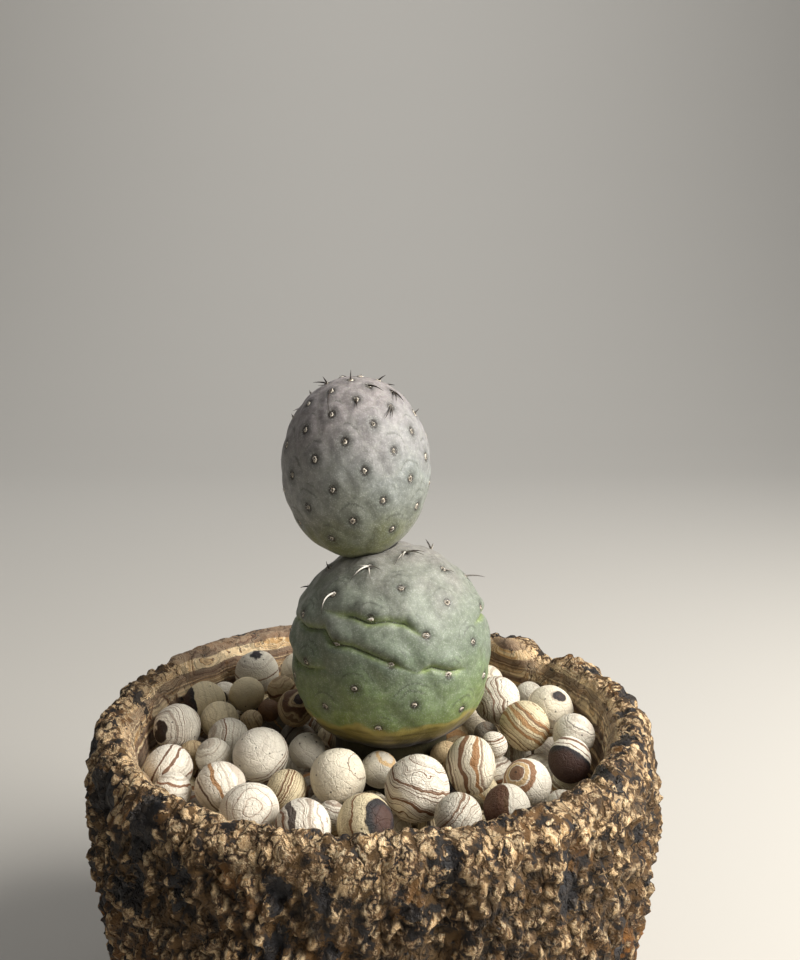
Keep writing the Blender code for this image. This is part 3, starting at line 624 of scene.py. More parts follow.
def potting_grit(name, light):
    """Fine dark volcanic grit mixed with peat: grains a millimetre across, each its own brown."""
    material, add, place, finish = new_material(name)
    grains = add("TexVoronoi", place, 0.9)
    tone = add("SeparateColor", grains.outputs["Color"])
    colour = add("ValToRGB", tone, stops=((0, "#120E0B"), (0.6, "#2A2019"), (1, light)))
    bump = add("Bump", 1, 0.6 * MM, Height=grains, invert=True)
    finish(Base_Color=colour, Roughness=0.95, Normal=bump)
    return material


def stem_skin(name, stops, blush_and_shade, blush_and_shade_span, blush_and_shade_strength, blush_and_shade_side, cork_top):
    """Waxy cactus epidermis: green flesh under a pale bloom, stippled with stomata, tinted mauve on one
    side.

    The mauve side is partly painted shade. Dark halos lie under the areoles, the borders of the tubercles
    show as faint pale lines, dark arcs above the areoles are painted shade of the skin's wrinkles and the
    creases are painted dark as shade with yellow-green lips; the base of an old segment is corky, with
    painted shade where it sits among the pebbles.
    """
    material, add, place, finish = new_material(name)
    areole, border, fold, above, share = (
        add("Attribute", attribute_name=value).outputs["Fac"] for value in (*SKIN_VALUES, "share"))
    # Flesh colour up the segment, pushed about by a cloud 12 mm across
    push = add("Math", add("TexNoise", place, 0.09, 3), 0.5, -0.25, operation="MULTIPLY_ADD")
    colour = add("ValToRGB", add("Math", share, push, operation="ADD"), stops=stops)
    # Mauve tint on one side: partly the skin's own colour, partly painted shade on that side
    side = add("VectorMath", place, blush_and_shade_side, operation="DOT_PRODUCT")
    side = add("Math", add("TexNoise", place, 0.14, 3), 12, side, operation="MULTIPLY_ADD")
    blush_and_shade_mask = add("MapRange", side, *blush_and_shade_span, 0, blush_and_shade_strength, **EASED)
    colour = add("Mix", blush_and_shade_mask, colour, blush_and_shade, **TINT)
    # Dark halo round each areole, and a darker ring round the wool
    for low, high, strength, tint in ((0.7, 2.7, 0.45, "#2E362B"), (0.75, 1.15, 0.8, "#241A12")):
        halo = add("MapRange", areole, low, high, strength, 0, **EASED)
        colour = add("Mix", halo, colour, tint, **TINT)
    # The line between tubercles, and dark arcs above each areole as painted shade of the skin's wrinkles,
    # all broken
    broken = add("TexNoise", place, 0.5, 2)
    edge = add("MapRange", border, 0.05, 0.9, 0.25, 0, **EASED)
    edge = add("Math", edge, broken, operation="MULTIPLY")
    colour = add("Mix", edge, colour, "#9AA090", **TINT)
    arc_break = add("TexNoise", place, 0.12, 1)
    arc_bend = add("Math", broken, 1.1, areole, operation="MULTIPLY_ADD")
    upper_side = add("MapRange", above, 0.8, 2.4, **EASED)
    for radius, low, high in ((3.9, 0.38, 0.5), (5.2, 0.48, 0.6)):
        away = add("Math", arc_bend, radius, operation="SUBTRACT")
        away = add("Math", away, operation="ABSOLUTE")
        wrinkle_shade = add("MapRange", away, 0, 0.42, 0.5, 0, **EASED)
        shown = add("MapRange", arc_break, low, high, **EASED)
        wrinkle_shade = add("Math", wrinkle_shade, shown, operation="MULTIPLY")
        wrinkle_shade = add("Math", wrinkle_shade, upper_side, operation="MULTIPLY")
        colour = add("Mix", wrinkle_shade, colour, "#3E4238", **TINT)
    # Yellow-green lips of the creases, then painted shade in the crease itself
    lip = add("MapRange", fold, 0.2, 1.4, 0.85, 0, **EASED)
    lip = add("Math", lip, broken, operation="MULTIPLY")
    colour = add("Mix", lip, colour, "#8CA04C", **TINT)
    crease_shade = add("MapRange", fold, 0.03, 0.32, 0.8, 0, **EASED)
    colour = add("Mix", crease_shade, colour, "#26301A", **TINT)
    # Bloom: stomata 0.3 mm apart drawn as pale dots, and a fine grain
    stomata = add("TexVoronoi", place, 2.4)
    bloom = add("TexNoise", place, 0.8, 5)
    dots = add("MapRange", stomata, 0.15, 0.5, 0.62, 0, **EASED)
    dots = add("Math", dots, bloom, operation="MULTIPLY")
    colour = add("Mix", dots, colour, "#B4B7B2", **TINT)
    grain = add("MapRange", bloom, 0.3, 0.7, 0.78, 1.2)
    colour = add("VectorMath", colour, grain, operation="SCALE")
    if cork_top:
        # The corky base: level rings of ochre, with painted shade where it sits among the pebbles
        height = add("SeparateXYZ", place).outputs["Z"]
        height = add("Math", add("TexNoise", place, 0.12, 2), 7, height, operation="MULTIPLY_ADD")
        flat = add("Mapping", place, Scale=(0.05, 0.05, 1.4))
        cork = add("ValToRGB", add("TexNoise", flat, 1, 3), stops=(
            (0.3, "#50461C"), (0.45, "#6E6128"), (0.6, "#85773A"), (0.75, "#5F5828")))
        bright = add("MapRange", height, cork_top - 1.7, cork_top - 0.5, 0, 0.8, **EASED)
        cork = add("Mix", bright, cork, "#AEA056", **TINT)
        base_shade = add("MapRange", height, cork_top - 6, cork_top - 3, 0.95, 0, **EASED)
        cork = add("Mix", base_shade, cork, "#1C170D", **TINT)
        covered = add("MapRange", height, cork_top - 0.6, cork_top + 0.5, 0.95, 0, **EASED)
        colour = add("Mix", covered, colour, cork, **TINT)
    soft = add("Bump", 0.35, 0.5 * MM, Height=add("TexNoise", place, 0.6, 4))
    pits = add("Bump", 0.3, 0.08 * MM, Height=stomata, Normal=soft)
    finish(Base_Color=colour, Roughness=0.55, Normal=pits, Sheen_Weight=0.14, Sheen_Roughness=0.4,
           Sheen_Tint="#D8D2DC", Subsurface_Weight=0.12, Subsurface_Radius=(0.8, 0.8, 0.5),
           Subsurface_Scale=1.2 * MM)
    return material


def areole_wool(settings):
    """Felted plant wool, short and matted, off-white with brown bits in it."""
    material, add, place, finish = new_material("areole_wool")
    felt = add("TexNoise", place, 2.5, 4)
    colour = add("ValToRGB", felt, stops=((0.3, "#8E7A5E"), (0.5, settings.wool), (0.75, "#EDE8DA")))
    core = add("Attribute", attribute_name="core").outputs["Fac"]
    colour = add("Mix", core, colour, "#2E2118", **TINT)
    finish(Base_Color=colour, Roughness=0.95, Normal=add("Bump", 1, 0.2 * MM, Height=felt))
    return material


def spine_horn(settings):
    """Woody spine, smooth as horn: dark brown to black, chalk white at the base of young ones."""
    material, add, place, finish = new_material("spine_horn")
    pale = add("Attribute", attribute_name="pale").outputs["Fac"]
    colour = add("ValToRGB", add("TexNoise", place, 3, 2), stops=((0.3, "#120D0A"), (0.7, "#3A2A20")))
    finish(Base_Color=add("Mix", pale, colour, settings.spine_pale, **TINT), Roughness=0.4)
    return material


# Bowl

def outer_radius(height):
    """Radius of the bowl's plain outer wall, from the foot to the belly."""
    rest = 1 - min(height, BELLY_HEIGHT) / BELLY_HEIGHT
    return FOOT_RADIUS + (BELLY_RADIUS - FOOT_RADIUS) * (1 - rest ** BELLY_FULLNESS)


def inner_radius(height):
    """Radius of the bowl's inner wall, straight above and curved in to the floor."""
    if height >= FLOOR_CURVE_HEIGHT:
        return MOUTH_RADIUS
    share = (FLOOR_CURVE_HEIGHT - height) / (FLOOR_CURVE_HEIGHT - FLOOR_THICKNESS)
    return MOUTH_RADIUS - (MOUTH_RADIUS - FLOOR_RADIUS) * share ** 2


def bowl_profile():
    """Closed section of the wall: up the outside, over the rim, down the inside, out of the drain."""
    points = [(FOOT_RADIUS - FOOT_CHAMFER, 0), (FOOT_RADIUS, FOOT_CHAMFER)]
    rows = int(MOUTH_HEIGHT / WALL_ROW)
    for row in range(2, rows + 1):
        height = MOUTH_HEIGHT * row / rows
        points.append((outer_radius(height), height))
    middle = (MOUTH_RADIUS + BELLY_RADIUS) / 2
    half = (BELLY_RADIUS - MOUTH_RADIUS) / 2
    for row in range(1, RIM_ROWS + 1):
        turn = math.pi * row / RIM_ROWS
        points.append((middle + half * math.cos(turn), MOUTH_HEIGHT + RIM_ROLL_HEIGHT * math.sin(turn)))
    rows = int((MOUTH_HEIGHT - FLOOR_THICKNESS) / INSIDE_ROW)
    for row in range(1, rows):
        height = MOUTH_HEIGHT - (MOUTH_HEIGHT - FLOOR_THICKNESS) * row / rows
        points.append((inner_radius(height), height))
    return points + [(FLOOR_RADIUS - FLOOR_FILLET, FLOOR_THICKNESS), (DRAIN_RADIUS, FLOOR_THICKNESS),
                     (DRAIN_RADIUS, 0)]


def rim_lift(azimuth):
    """How much the rim rises or dips at an azimuth in degrees."""
    lift = RIM_BACK_LIFT * math.sin(math.radians(azimuth))
    around = Vector((math.cos(math.radians(azimuth)), math.sin(math.radians(azimuth)), 0.3))
    lift += RIM_WANDER * noise.noise(around * RIM_WANDER_PITCH)
    lift -= NOTCH_DEPTH * bell(turn_between(azimuth, NOTCH_ANGLE), NOTCH_WIDTH)
    lift += KNOB_RISE * bell(turn_between(azimuth, KNOB_ANGLE), KNOB_WIDTH)
    return lift


def noise_at(x, y, z, size, stretch=1.0, shift=0.0):
    """Soft noise with hills of about this size, drawn out upright by the stretch."""
    return noise.noise(Vector((x / size, y / size, z / (stretch * size) + shift)))


def bark_relief(azimuth, height):
    """Upright ridges broken into lumps, in millimetres off the plain outer wall."""
    turn = math.radians(azimuth)
    east = BELLY_RADIUS * math.cos(turn)
    north = BELLY_RADIUS * math.sin(turn)
    ridge = noise.noise(Vector((east / RIDGE_WIDTH, north / RIDGE_WIDTH, height / RIDGE_LENGTH)))
    lump = noise_at(east, north, height, LUMP_SIZE, shift=9)
    relief = RIDGE_HEIGHT * ridge + LUMP_HEIGHT * lump
    relief += RIGHT_BULGE * max(0.0, math.cos(turn)) ** 2
    for furrow in FURROW_ANGLES:
        relief -= FURROW_DEPTH * bell(turn_between(azimuth, furrow), FURROW_WIDTH)
    return relief


def held_within(value, low, high):
    """Ease a coordinate back inside its limits over the last BOX_EASE."""
    for sign, limit in ((1, high - BOX_MARGIN), (-1, -low - BOX_MARGIN)):
        over = sign * value - (limit - BOX_EASE)
        if over > 0:
            return sign * (limit - BOX_EASE * math.exp(-over / BOX_EASE))
    return value


def crumb_relief(point, size):
    """Depth share of torn clay at a point, 0 on a crumb and 1 in a crack, and the crumb's own share."""
    bend = noise.noise_vector(point / (3 * size)) * 0.9 + noise.noise_vector(point / size) * 0.35
    spot = Vector((point.x / size, point.y / size, point.z * CRUMB_STRETCH / size)) + bend
    distances = noise.voronoi(spot)[0]
    crack = bell(distances[1] - distances[0], CRACK_WIDTH)
    return crack, distances[0]


def shape_bowl_vertex(vertex, layers, settings):
    """Give one vertex of the plain bowl its bark relief, torn crumbs, rim lift and knob."""
    x, y, z = vertex.co
    plain = radius = math.hypot(x, y)
    azimuth = math.degrees(math.atan2(y, x))
    middle = (inner_radius(z) + outer_radius(z)) / 2
    if z > MOUTH_HEIGHT:
        outwards = smoothstep(MOUTH_RADIUS + 1.5, BELLY_RADIUS - 1, radius)
    else:
        outwards = 1.0 if radius > middle else 0.0
    ramp = smoothstep(*FOOT_FADE, z)
    radius += outwards * ramp * (bark_relief(azimuth, z) + CRUMB_SWELL)
    if z > MOUTH_HEIGHT and radius < BELLY_RADIUS - 3:
        knob = bell(turn_between(azimuth, KNOB_ANGLE), KNOB_WIDTH)
        radius -= KNOB_BULGE * knob * smoothstep(*KNOB_HEIGHTS, z)
    # Torn crumbs, deep outside, shallow over the rim and faint inside
    outside = smoothstep(MOUTH_RADIUS, MOUTH_RADIUS + 5, radius) if z > MOUTH_HEIGHT else outwards
    first, full, still_full, last = SMOOTH_SPAN
    smooth = smoothstep(first, full, azimuth) * smoothstep(last, still_full, azimuth)
    smooth *= smoothstep(*SMOOTH_RADII, plain) * smoothstep(*SMOOTH_HEIGHTS, z)
    outside *= 1 - SMOOTH_SHARE * smooth
    big_crack, big_dome = crumb_relief(vertex.co, settings.crumb_size)
    small_crack, _ = crumb_relief(vertex.co + Vector(SMALL_CRUMB_SHIFT), settings.crumb_size / 2)
    char = noise_at(x, y, z, CHAR_SIZE, CHAR_STRETCH, 3)
    amount = (INNER_SHARE + (1 - INNER_SHARE) * outside) * ramp
    amount *= 1 - RIM_CALM * smoothstep(MOUTH_HEIGHT, MOUTH_HEIGHT + 10, z)
    big, small, dome = CRUMB_SHARES
    depth = settings.crack_depth * (big * big_crack + small * small_crack + dome * big_dome ** 2)
    depth = amount * (depth + CHAR_PIT * smoothstep(*CHAR_RANGE, char))
    if z > MOUTH_HEIGHT:
        lean = Vector((radius - (MOUTH_RADIUS + BELLY_RADIUS) / 2, (z - MOUTH_HEIGHT) / 2)).normalized()
        radius -= depth * lean.x
        z += (RIM_SWELL * ramp - depth) * max(0.0, lean.y)
    elif radius > middle:
        radius -= depth
    z += rim_lift(azimuth) * smoothstep(*LIFT_HEIGHTS, z)
    low = smoothstep(*RUST_HEIGHTS, z)
    patch = noise_at(x, y, z, RUST_SIZE, shift=17)
    vertex[layers["crack"]] = amount * max(big_crack, 0.7 * small_crack)
    vertex[layers["char"]] = (0.1 + 0.9 * outside) * smoothstep(0.1, 0.5, char)
    vertex[layers["rust"]] = outside * (0.4 * low + smoothstep(0.0, 0.5, patch) * (0.35 + 0.5 * low))
    vertex[layers["inner"]] = 1 - outside
    turn = math.radians(azimuth)
    wanted = (radius * math.cos(turn), radius * math.sin(turn), z)
    low, high = POT_BOX
    vertex.co = [held_within(wanted[i], low[i], high[i]) if i < 2 else min(z, high.z - BOX_MARGIN)
                 for i in range(3)]


# Filling

def pebble_layers(bm):
    """The value layers that carry each pebble's markings."""
    made = {name: bm.verts.layers.float_vector.new(name) for name in PEBBLE_VALUES}
    made["layer"] = bm.verts.layers.float.new("layer")
    made["clay"] = bm.verts.layers.float_color.new("clay")
    return made


def mark_pebble(verts, layers, centre, radius, look):
    """Write one pebble's markings on its vertices."""
    clay, clock, tilt, lines, specks, bands, cap = (*look, (), ())[:7]
    view = (Vector(VIEWPOINT) - centre).normalized()
    right = Vector((0, 0, 1)).cross(view).normalized()
    up = view.cross(right)
    turn, lean = math.radians(clock), math.radians(tilt)
    axis = view * math.cos(lean) + (right * math.cos(turn) + up * math.sin(turn)) * math.sin(lean)
    edge, tone = cap or NO_CAP
    marks = [lines, (edge * radius, tone, specks)]
    for middle, half, band_tone in (*bands, NO_BAND, NO_BAND, NO_BAND)[:3]:
        marks.append((middle * radius, half * radius, band_tone))
    for vertex in verts:
        share = (vertex.co - centre).normalized().dot(axis)
        if tilt < PLANAR_TILT:
            share = 1 - 2 * math.acos(max(-1.0, min(1.0, share))) / math.pi
        vertex[layers["layer"]] = share * radius
        vertex[layers["clay"]] = as_colour(CLAYS[clay])
        for name, mark in zip(PEBBLE_VALUES, marks):
            vertex[layers[name]] = mark


def add_pebble(bm, layers, centre, half_size, subdivisions, seed, look):
    """Add one hand-rolled ball, slightly uneven, inside a box of the given half size."""
    made = bmesh.ops.create_icosphere(bm, subdivisions=subdivisions, radius=1.0)["verts"]
    for vertex in made:
        unit = vertex.co.normalized()
        uneven = 1 - ROLL_UNEVEN * (0.5 + noise.noise(unit * 1.3 + Vector((seed * 7.1, 0, 0))))
        uneven -= ROLL_RIPPLE * (0.5 + noise.noise(unit * 6 + Vector((0, seed * 3.7, 0))))
        vertex.co = centre + Vector([unit[i] * half_size[i] * uneven for i in range(3)])
    mark_pebble(made, layers, centre, max(half_size), look)


def random_look(rng):
    """Markings of a pebble that only shows between others."""
    clay = rng.choice(("white", "cream", "grey", "tan", "buff", "slate"))
    bands = ((rng.uniform(-0.4, 0.4), rng.uniform(0.04, 0.12), rng.uniform(0, 0.8)),)
    lines = (rng.uniform(0.4, 1.3), rng.uniform(0.3, 1.0), rng.uniform(0.4, 1.0))
    return clay, rng.uniform(0, 360), rng.uniform(20, 85), lines, rng.uniform(0, 0.4), bands


def lower_pebble_places():
    """Places of the lower pebbles: rows of a triangle pattern, clear of the wall and the root."""
    places = []
    rows = int(MOUTH_RADIUS / BED_PITCH) + 2
    for row in range(-rows, rows + 1):
        for column in range(-rows, rows + 1):
            x = (column + 0.5 * (row % 2)) * BED_PITCH
            y = row * BED_PITCH * math.sqrt(3) / 2
            radius = BED_PITCH / 2
            if math.hypot(x, y) > MOUTH_RADIUS - radius - GAP:
                continue
            if math.hypot(x - LOWER_CENTRE[0], y - LOWER_CENTRE[1]) < ROOT_RADIUS + radius + GAP:
                continue
            places.append(Vector((x, y, BED_TOP + BED_SLOPE * y + BED_RELIEF - radius)))
    return places


# Plant

def direction_of(azimuth, height):
    """Unit direction from an azimuth in degrees and a height share."""
    ring = math.sqrt(1 - height * height)
    turn = math.radians(azimuth)
    return Vector((ring * math.cos(turn), ring * math.sin(turn), height))


def spiral_directions(count, divergence, phase, crowding, lowest):
    """Unit directions of a segment's areoles, from the tip down."""
    heights = (1 - 2 * ((index + 0.5) / count) ** crowding for index in range(count))
    return [direction_of(phase + divergence * index, height)
            for index, height in enumerate(heights) if height >= lowest]


def nearest_fold(azimuth, height, width):
    """Distance to the nearest fold in millimetres, and the relief of all of them."""
    relief, closest = 0.0, FAR_OFF
    for fold in FOLDS:
        nearest, rise, along_fold = 1e9, 0.0, 0.0
        for part, ((azimuth_a, height_a), (azimuth_b, height_b)) in enumerate(zip(fold, fold[1:])):
            run = math.radians(azimuth_b - azimuth_a) * width
            along = math.radians(turn_between(azimuth, azimuth_a)) * width
            climb = height_b - height_a
            share = (along * run + (height - height_a) * climb) / (run * run + climb * climb)
            share = min(1.0, max(0.0, share))
            side = along - share * run
            above = height - height_a - share * climb
            if math.hypot(side, above) < nearest:
                nearest = math.hypot(side, above)
                rise = math.copysign(nearest, above)
                along_fold = (part + share) / (len(fold) - 1)
        full = smoothstep(-0.06, FOLD_TAPER, min(along_fold, 1 - along_fold))
        valley = FOLD_DEPTH * bell(nearest, FOLD_WIDTH) + FOLD_PINCH * bell(nearest, FOLD_PINCH_WIDTH)
        relief -= full * valley
        if rise > 0:
            relief += full * FOLD_LIP * bell(rise - FOLD_LIP_RISE, FOLD_LIP_WIDTH)
        closest = min(closest, nearest + FOLD_WIDTH * (1 - full))
    return closest, relief


class Segment:
    """One stem segment: an egg-shaped body with its areoles."""

    def __init__(self, centre, half_width, half_height, spiral, folded):
        self.centre = Vector(centre)
        self.half_width = half_width
        self.half_height = half_height
        self.folded = folded
        self.areoles = spiral_directions(*spiral)
        self.tree = kdtree.KDTree(len(self.areoles))
        for index, areole in enumerate(self.areoles):
            self.tree.insert(areole, index)
        self.tree.balance()

    def normal(self, direction):
        """Outward direction of the plain body's skin."""
        wide = direction.x / self.half_width, direction.y / self.half_width
        return Vector((*wide, direction.z / self.half_height)).normalized()

    def plain(self, direction):
        """Point of the plain body from its centre; the lower one spreads on the pebbles."""
        share = direction.z / 2 + 0.5
        wide = self.half_width * (1 + BASE_FULLNESS * self.folded * smoothstep(0.5, 0.1, share))
        return Vector((direction.x * wide, direction.y * wide, direction.z * self.half_height))

    def measures(self, direction):
        """Relief at a direction, and its distances to areole, tubercle border and fold by name."""
        (areole, _, first), (_, _, second) = self.tree.find_n(direction, 2)
        swell = TUBERCLE_HEIGHT * (LOWER_SWELL if self.folded else 1)
        relief = swell * (1 - bell(second - first, TUBERCLE_FURROW)) - swell / 2
        relief -= DIMPLE_DEPTH * bell(first * self.half_width, DIMPLE_WIDTH)
        closest = FAR_OFF
        if self.folded:
            azimuth = math.degrees(math.atan2(direction.y, direction.x))
            height = self.centre.z + direction.z * self.half_height
            closest, folds = nearest_fold(azimuth, height, self.half_width)
            relief += folds
        scale = self.half_width
        values = first * scale, (second - first) * scale, closest, (direction.z - areole.z) * scale
        return relief, dict(zip(SKIN_VALUES, values))

    def surface(self, direction):
        """Point of the skin in a unit direction."""
        relief = self.measures(direction)[0]
        return self.centre + self.plain(direction) + self.normal(direction) * relief


def seat_under(point, upper):
    """Lower a point of the lower segment onto the dish that the upper segment sits in."""
    wide = upper.half_width + GAP
    tall = upper.half_height + GAP
    offset = point - upper.centre
    ring = (offset.x ** 2 + offset.y ** 2) / wide ** 2
    if ring < 1:
        dish = upper.centre.z - tall * math.sqrt(1 - ring)
        if point.z > dish:
            return Vector((point.x, point.y, dish))
    return point


def segment_body(segment, steps, rows, with_root, upper=None):
    """The turned body of a segment, shaped by its relief, with its distances as value layers."""
    lowest = math.pi
    if with_root:
        lowest = math.pi - math.asin((ROOT_RADIUS + 0.5) / segment.half_width)
    profile = []
    for row in range(rows + 1):
        angle = lowest * row / rows
        profile.append((segment.half_width * math.sin(angle), segment.half_height * math.cos(angle)))
    profile[0] = (0, segment.half_height)
    if with_root:
        root_bottom = SOIL_TOP - RECESS_DEPTH + GAP - segment.centre.z
        profile += [(ROOT_RADIUS, profile[-1][1] - 1.5), (ROOT_RADIUS, root_bottom), (0, root_bottom)]
    else:
        profile[-1] = (0, -segment.half_height)
    bm = turned(profile, steps, closed=False)
    layers = {name: bm.verts.layers.float.new(name) for name in (*SKIN_VALUES, "share")}
    root_top = profile[rows][1] + 0.1 if with_root else -math.inf
    for vertex in bm.verts:
        offset = vertex.co.copy()
        vertex[layers["share"]] = offset.z / segment.half_height / 2 + 0.5
        for name in SKIN_VALUES:
            vertex[layers[name]] = FAR_OFF
        if offset.z < root_top:
            vertex.co += segment.centre
            continue
        direction = Vector((offset.x / segment.half_width, offset.y / segment.half_width,
                            offset.z / segment.half_height)).normalized()
        relief, values = segment.measures(direction)
        vertex.co = segment.centre + segment.plain(direction) + segment.normal(direction) * relief
        if upper:
            vertex.co = seat_under(vertex.co, upper)
        for name, value in values.items():
            vertex[layers[name]] = value
    return bm


def skin_frame(segment, areole):
    """Point, outward, upward and rightward directions of the skin at an areole."""
    normal = segment.normal(areole)
    up = (Vector((0, 0, 1)) - normal * normal.z).normalized()
    return segment.surface(areole), normal, up, up.cross(normal)


def shown_areoles(segment, upper=None):
    """The areoles of a segment that the upper one doesn't cover."""
    for areole in segment.areoles:
        away = (segment.surface(areole) - upper.centre).length if upper else math.inf
        if not upper or away >= upper.half_height + WOOL_CLEARANCE:
            yield areole


def add_wool(bm, core, segment, areole, half_sizes, rng):
    """A ring of matted wool round a dark middle, seated in the skin."""
    point, normal, up, right = skin_frame(segment, areole)
    size = rng.uniform(0.75, 1.2)
    wide, tall = half_sizes
    made = bmesh.ops.create_uvsphere(bm, u_segments=12, v_segments=7, radius=1.0)["verts"]
    for vertex in made:
        unit = vertex.co.copy()
        ring = math.hypot(unit.x, unit.y)
        tuft = 1 + 0.55 * noise.noise(unit * 2.3 + point)
        hollow = 0.55 * bell(ring, 0.45) if unit.z > 0 else 0
        high = (WOOL_THICKNESS * unit.z * tuft * 1.4 - WOOL_SINK) - hollow * WOOL_THICKNESS
        vertex.co = point + (right * unit.x * wide + up * unit.y * tall) * size * tuft + normal * high
        edge = ring + 0.3 * noise.noise(unit * 4 + point)
        vertex[core] = smoothstep(0.75, 0.35, edge) if unit.z > 0 else 0.0


def add_spine(bm, pale, root, tip, normal, radius, whiteness, bend, sections=6):
    """A slim spine from its root to its tip, bowed outward by a share of its length."""
    along = tip - root
    side = along.cross(normal).normalized()
    rise = side.cross(along).normalized()
    ring = bmesh.ops.create_circle(bm, cap_ends=False, segments=5, radius=1.0)["verts"]
    lost, power = SPINE_TAPER
    edges = list({edge for vertex in ring for edge in vertex.link_edges})
    base = [vertex.co.copy() for vertex in ring]
    for section in range(sections + 1):
        share = section / sections
        centre = root + along * share + rise * bend * along.length * math.sin(math.pi * share)
        thick = radius * (1 - lost * share ** power)
        for vertex, unit in zip(ring, base):
            vertex.co = centre + (side * unit.x + rise * unit.y) * thick
            vertex[pale] = whiteness * smoothstep(0.95, 0.45, share)
        if section == sections:
            bmesh.ops.contextual_create(bm, geom=edges)
        else:
            edges, fresh = extruded(bm, edges)
            ring = [min(fresh, key=lambda new: (new.co - old.co).length) for old in ring]


def spine_plan(segment, front_spines, back_from):
    """Root, tip, outward direction, paleness and bend of each spine, the front ones first."""
    plan = []

    def place(areole, clock, lift, length, pale=0.0, bend=SPINE_BEND):
        point, normal, up, right = skin_frame(segment, areole)
        turn, raised = math.radians(clock), math.radians(lift)
        aim = up * math.cos(turn) + right * math.sin(turn)
        aim = aim * math.cos(raised) + normal * math.sin(raised)
        plan.append((point - aim * SPINE_SINK, point + aim * length, normal, pale, bend))

    for azimuth, height, *spine in front_spines:
        place(segment.areoles[segment.tree.find(direction_of(azimuth, height))[1]], *spine)
    rng = random.Random(BACK_SPINE_SEED)
    for areole in segment.areoles:
        if areole.z > back_from and areole.y > BACK_SHARE:
            for clock in (rng.uniform(60, 150), rng.uniform(210, 300)):
                place(areole, clock, rng.uniform(10, 35), rng.uniform(3, 5), 0.1)
    return plan


def stem_segments():
    """The upper and the lower segment."""
    upper = Segment(UPPER_CENTRE, UPPER_HALF_WIDTH, UPPER_HALF_HEIGHT, UPPER_SPIRAL, folded=False)
    lower = Segment(LOWER_CENTRE, LOWER_HALF_WIDTH, LOWER_HALF_HEIGHT, LOWER_SPIRAL, folded=True)
    return upper, lower


# Settings

def colour_setting(name, description, default):
    """A colour setting with its default in hex."""
    return FloatVectorProperty(name=name, description=description, subtype="COLOR",
                               default=hex_colour(default))


class BowlSettings(bpy.types.PropertyGroup):
    """Form and finish of the bowl."""

    steps: IntProperty(name="Steps", description="Vertices round the bowl", default=600, min=48)
    crumb_size: FloatProperty(name="Crumb size", description="Width of the crumbs in mm", default=3.7)
    crack_depth: FloatProperty(name="Crack depth", description="Depth of cracks in mm", default=2.2)
    bowl_layers: FloatProperty(name="Layers", description="How close the layer lines are", default=70.0)
    bowl_pale: colour_setting("Crumb", "Colour of the pale clay", "#E6C89B")
    bowl_rust: colour_setting("Rust", "Colour of the iron wash", "#9A6A32")
    # Near-black painted shade for the cracks between the crumbs
    crack_shade: colour_setting("Crack", "Colour inside the cracks", "#140D09")
    bowl_char: colour_setting("Char", "Colour of the charred patches", "#121116")


class FillingSettings(bpy.types.PropertyGroup):
    """Pebbles and soil."""

    pebble_line: colour_setting("Line", "Colour of the thin clay lines", "#6E4A2C")
    grit_light: colour_setting("Light grain", "Colour of the palest grit", "#5A4A3A")


class PlantSettings(bpy.types.PropertyGroup):
    """Colours of the plant."""

    # The blush colours are a mauve tint on one side of each segment, partly painted shade
    lower_blush_and_shade: colour_setting("Lower blush", "Sun blush of the lower segment", "#928B88")
    upper_blush_and_shade: colour_setting("Upper blush", "Sun blush of the upper segment", "#908785")
    wool: colour_setting("Wool", "Colour of the areole wool", "#DDD5C6")
    spine_pale: colour_setting("Pale spine", "Colour of the young spines' base", "#E9E4DA")


class StageSettings(bpy.types.PropertyGroup):
    """Floor, light and camera."""

    floor: colour_setting("Floor", "Colour of the plain floor", "#C9C6C0")
    window_power: FloatProperty(name="Window light", description="Power of the soft window light in W",
                                default=9.9)
    fill_power: FloatProperty(name="Fill light", description="Power of the weak fill light in W",
                              default=0.12)
    wall_power: FloatProperty(name="Wall light", description="Power of the light on the backdrop in W",
                              default=14.0)
    air: FloatProperty(name="Air", description="Strength of the light from all round", default=0.1)
    lens: FloatProperty(name="Lens", description="Focal length in mm", default=37.5)


# Operators

class CACTUS_OT_bowl(bpy.types.Operator):
    """Make the torn stoneware bowl"""

    bl_idname = "cactus.bowl"
    bl_label = "Bowl"

    def execute(self, context):
        settings = context.scene.cactus_bowl
        # noise_vector's offsets come from a seed, which is the time of day unless it is set
        noise.seed_set(CRUMB_SEED)
        bm = turned(bowl_profile(), settings.steps, closed=True)
        layers = {name: bm.verts.layers.float.new(name) for name in BOWL_VALUES}
        for vertex in bm.verts:
            shape_bowl_vertex(vertex, layers, settings)
        add_piece("bark_bowl", bm, bark_stoneware(settings), "bark_stoneware", "pot")
        return {"FINISHED"}


class CACTUS_OT_soil(bpy.types.Operator):
    """Finish the soil and lay the grit on it"""

    bl_idname = "cactus.soil"
    bl_label = "Soil and grit"

    def execute(self, context):
        light = context.scene.cactus_filling.grit_light
        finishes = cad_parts["soil"].data.materials
        finishes.clear()
        finishes.append(potting_grit("potting_soil", light))
        reach = MOUTH_RADIUS - GAP
        profile = [(ROOT_RADIUS + GAP, SOIL_TOP + GAP), (reach, SOIL_TOP + GAP)]
        for row in range(25):
            profile.append((reach - (reach - ROOT_RADIUS - GAP) * row / 24, GRIT_TOP))
        bm = turned(profile, 150, closed=True)
        for vertex in bm.verts:
            if vertex.co.z > GRIT_TOP - 0.1:
                vertex.co.z += GRIT_RELIEF * noise.noise(vertex.co / GRIT_SIZE)
        add_piece("bed_grit", bm, potting_grit("bed_grit", light), "soil", "pebble_bed")
        return {"FINISHED"}


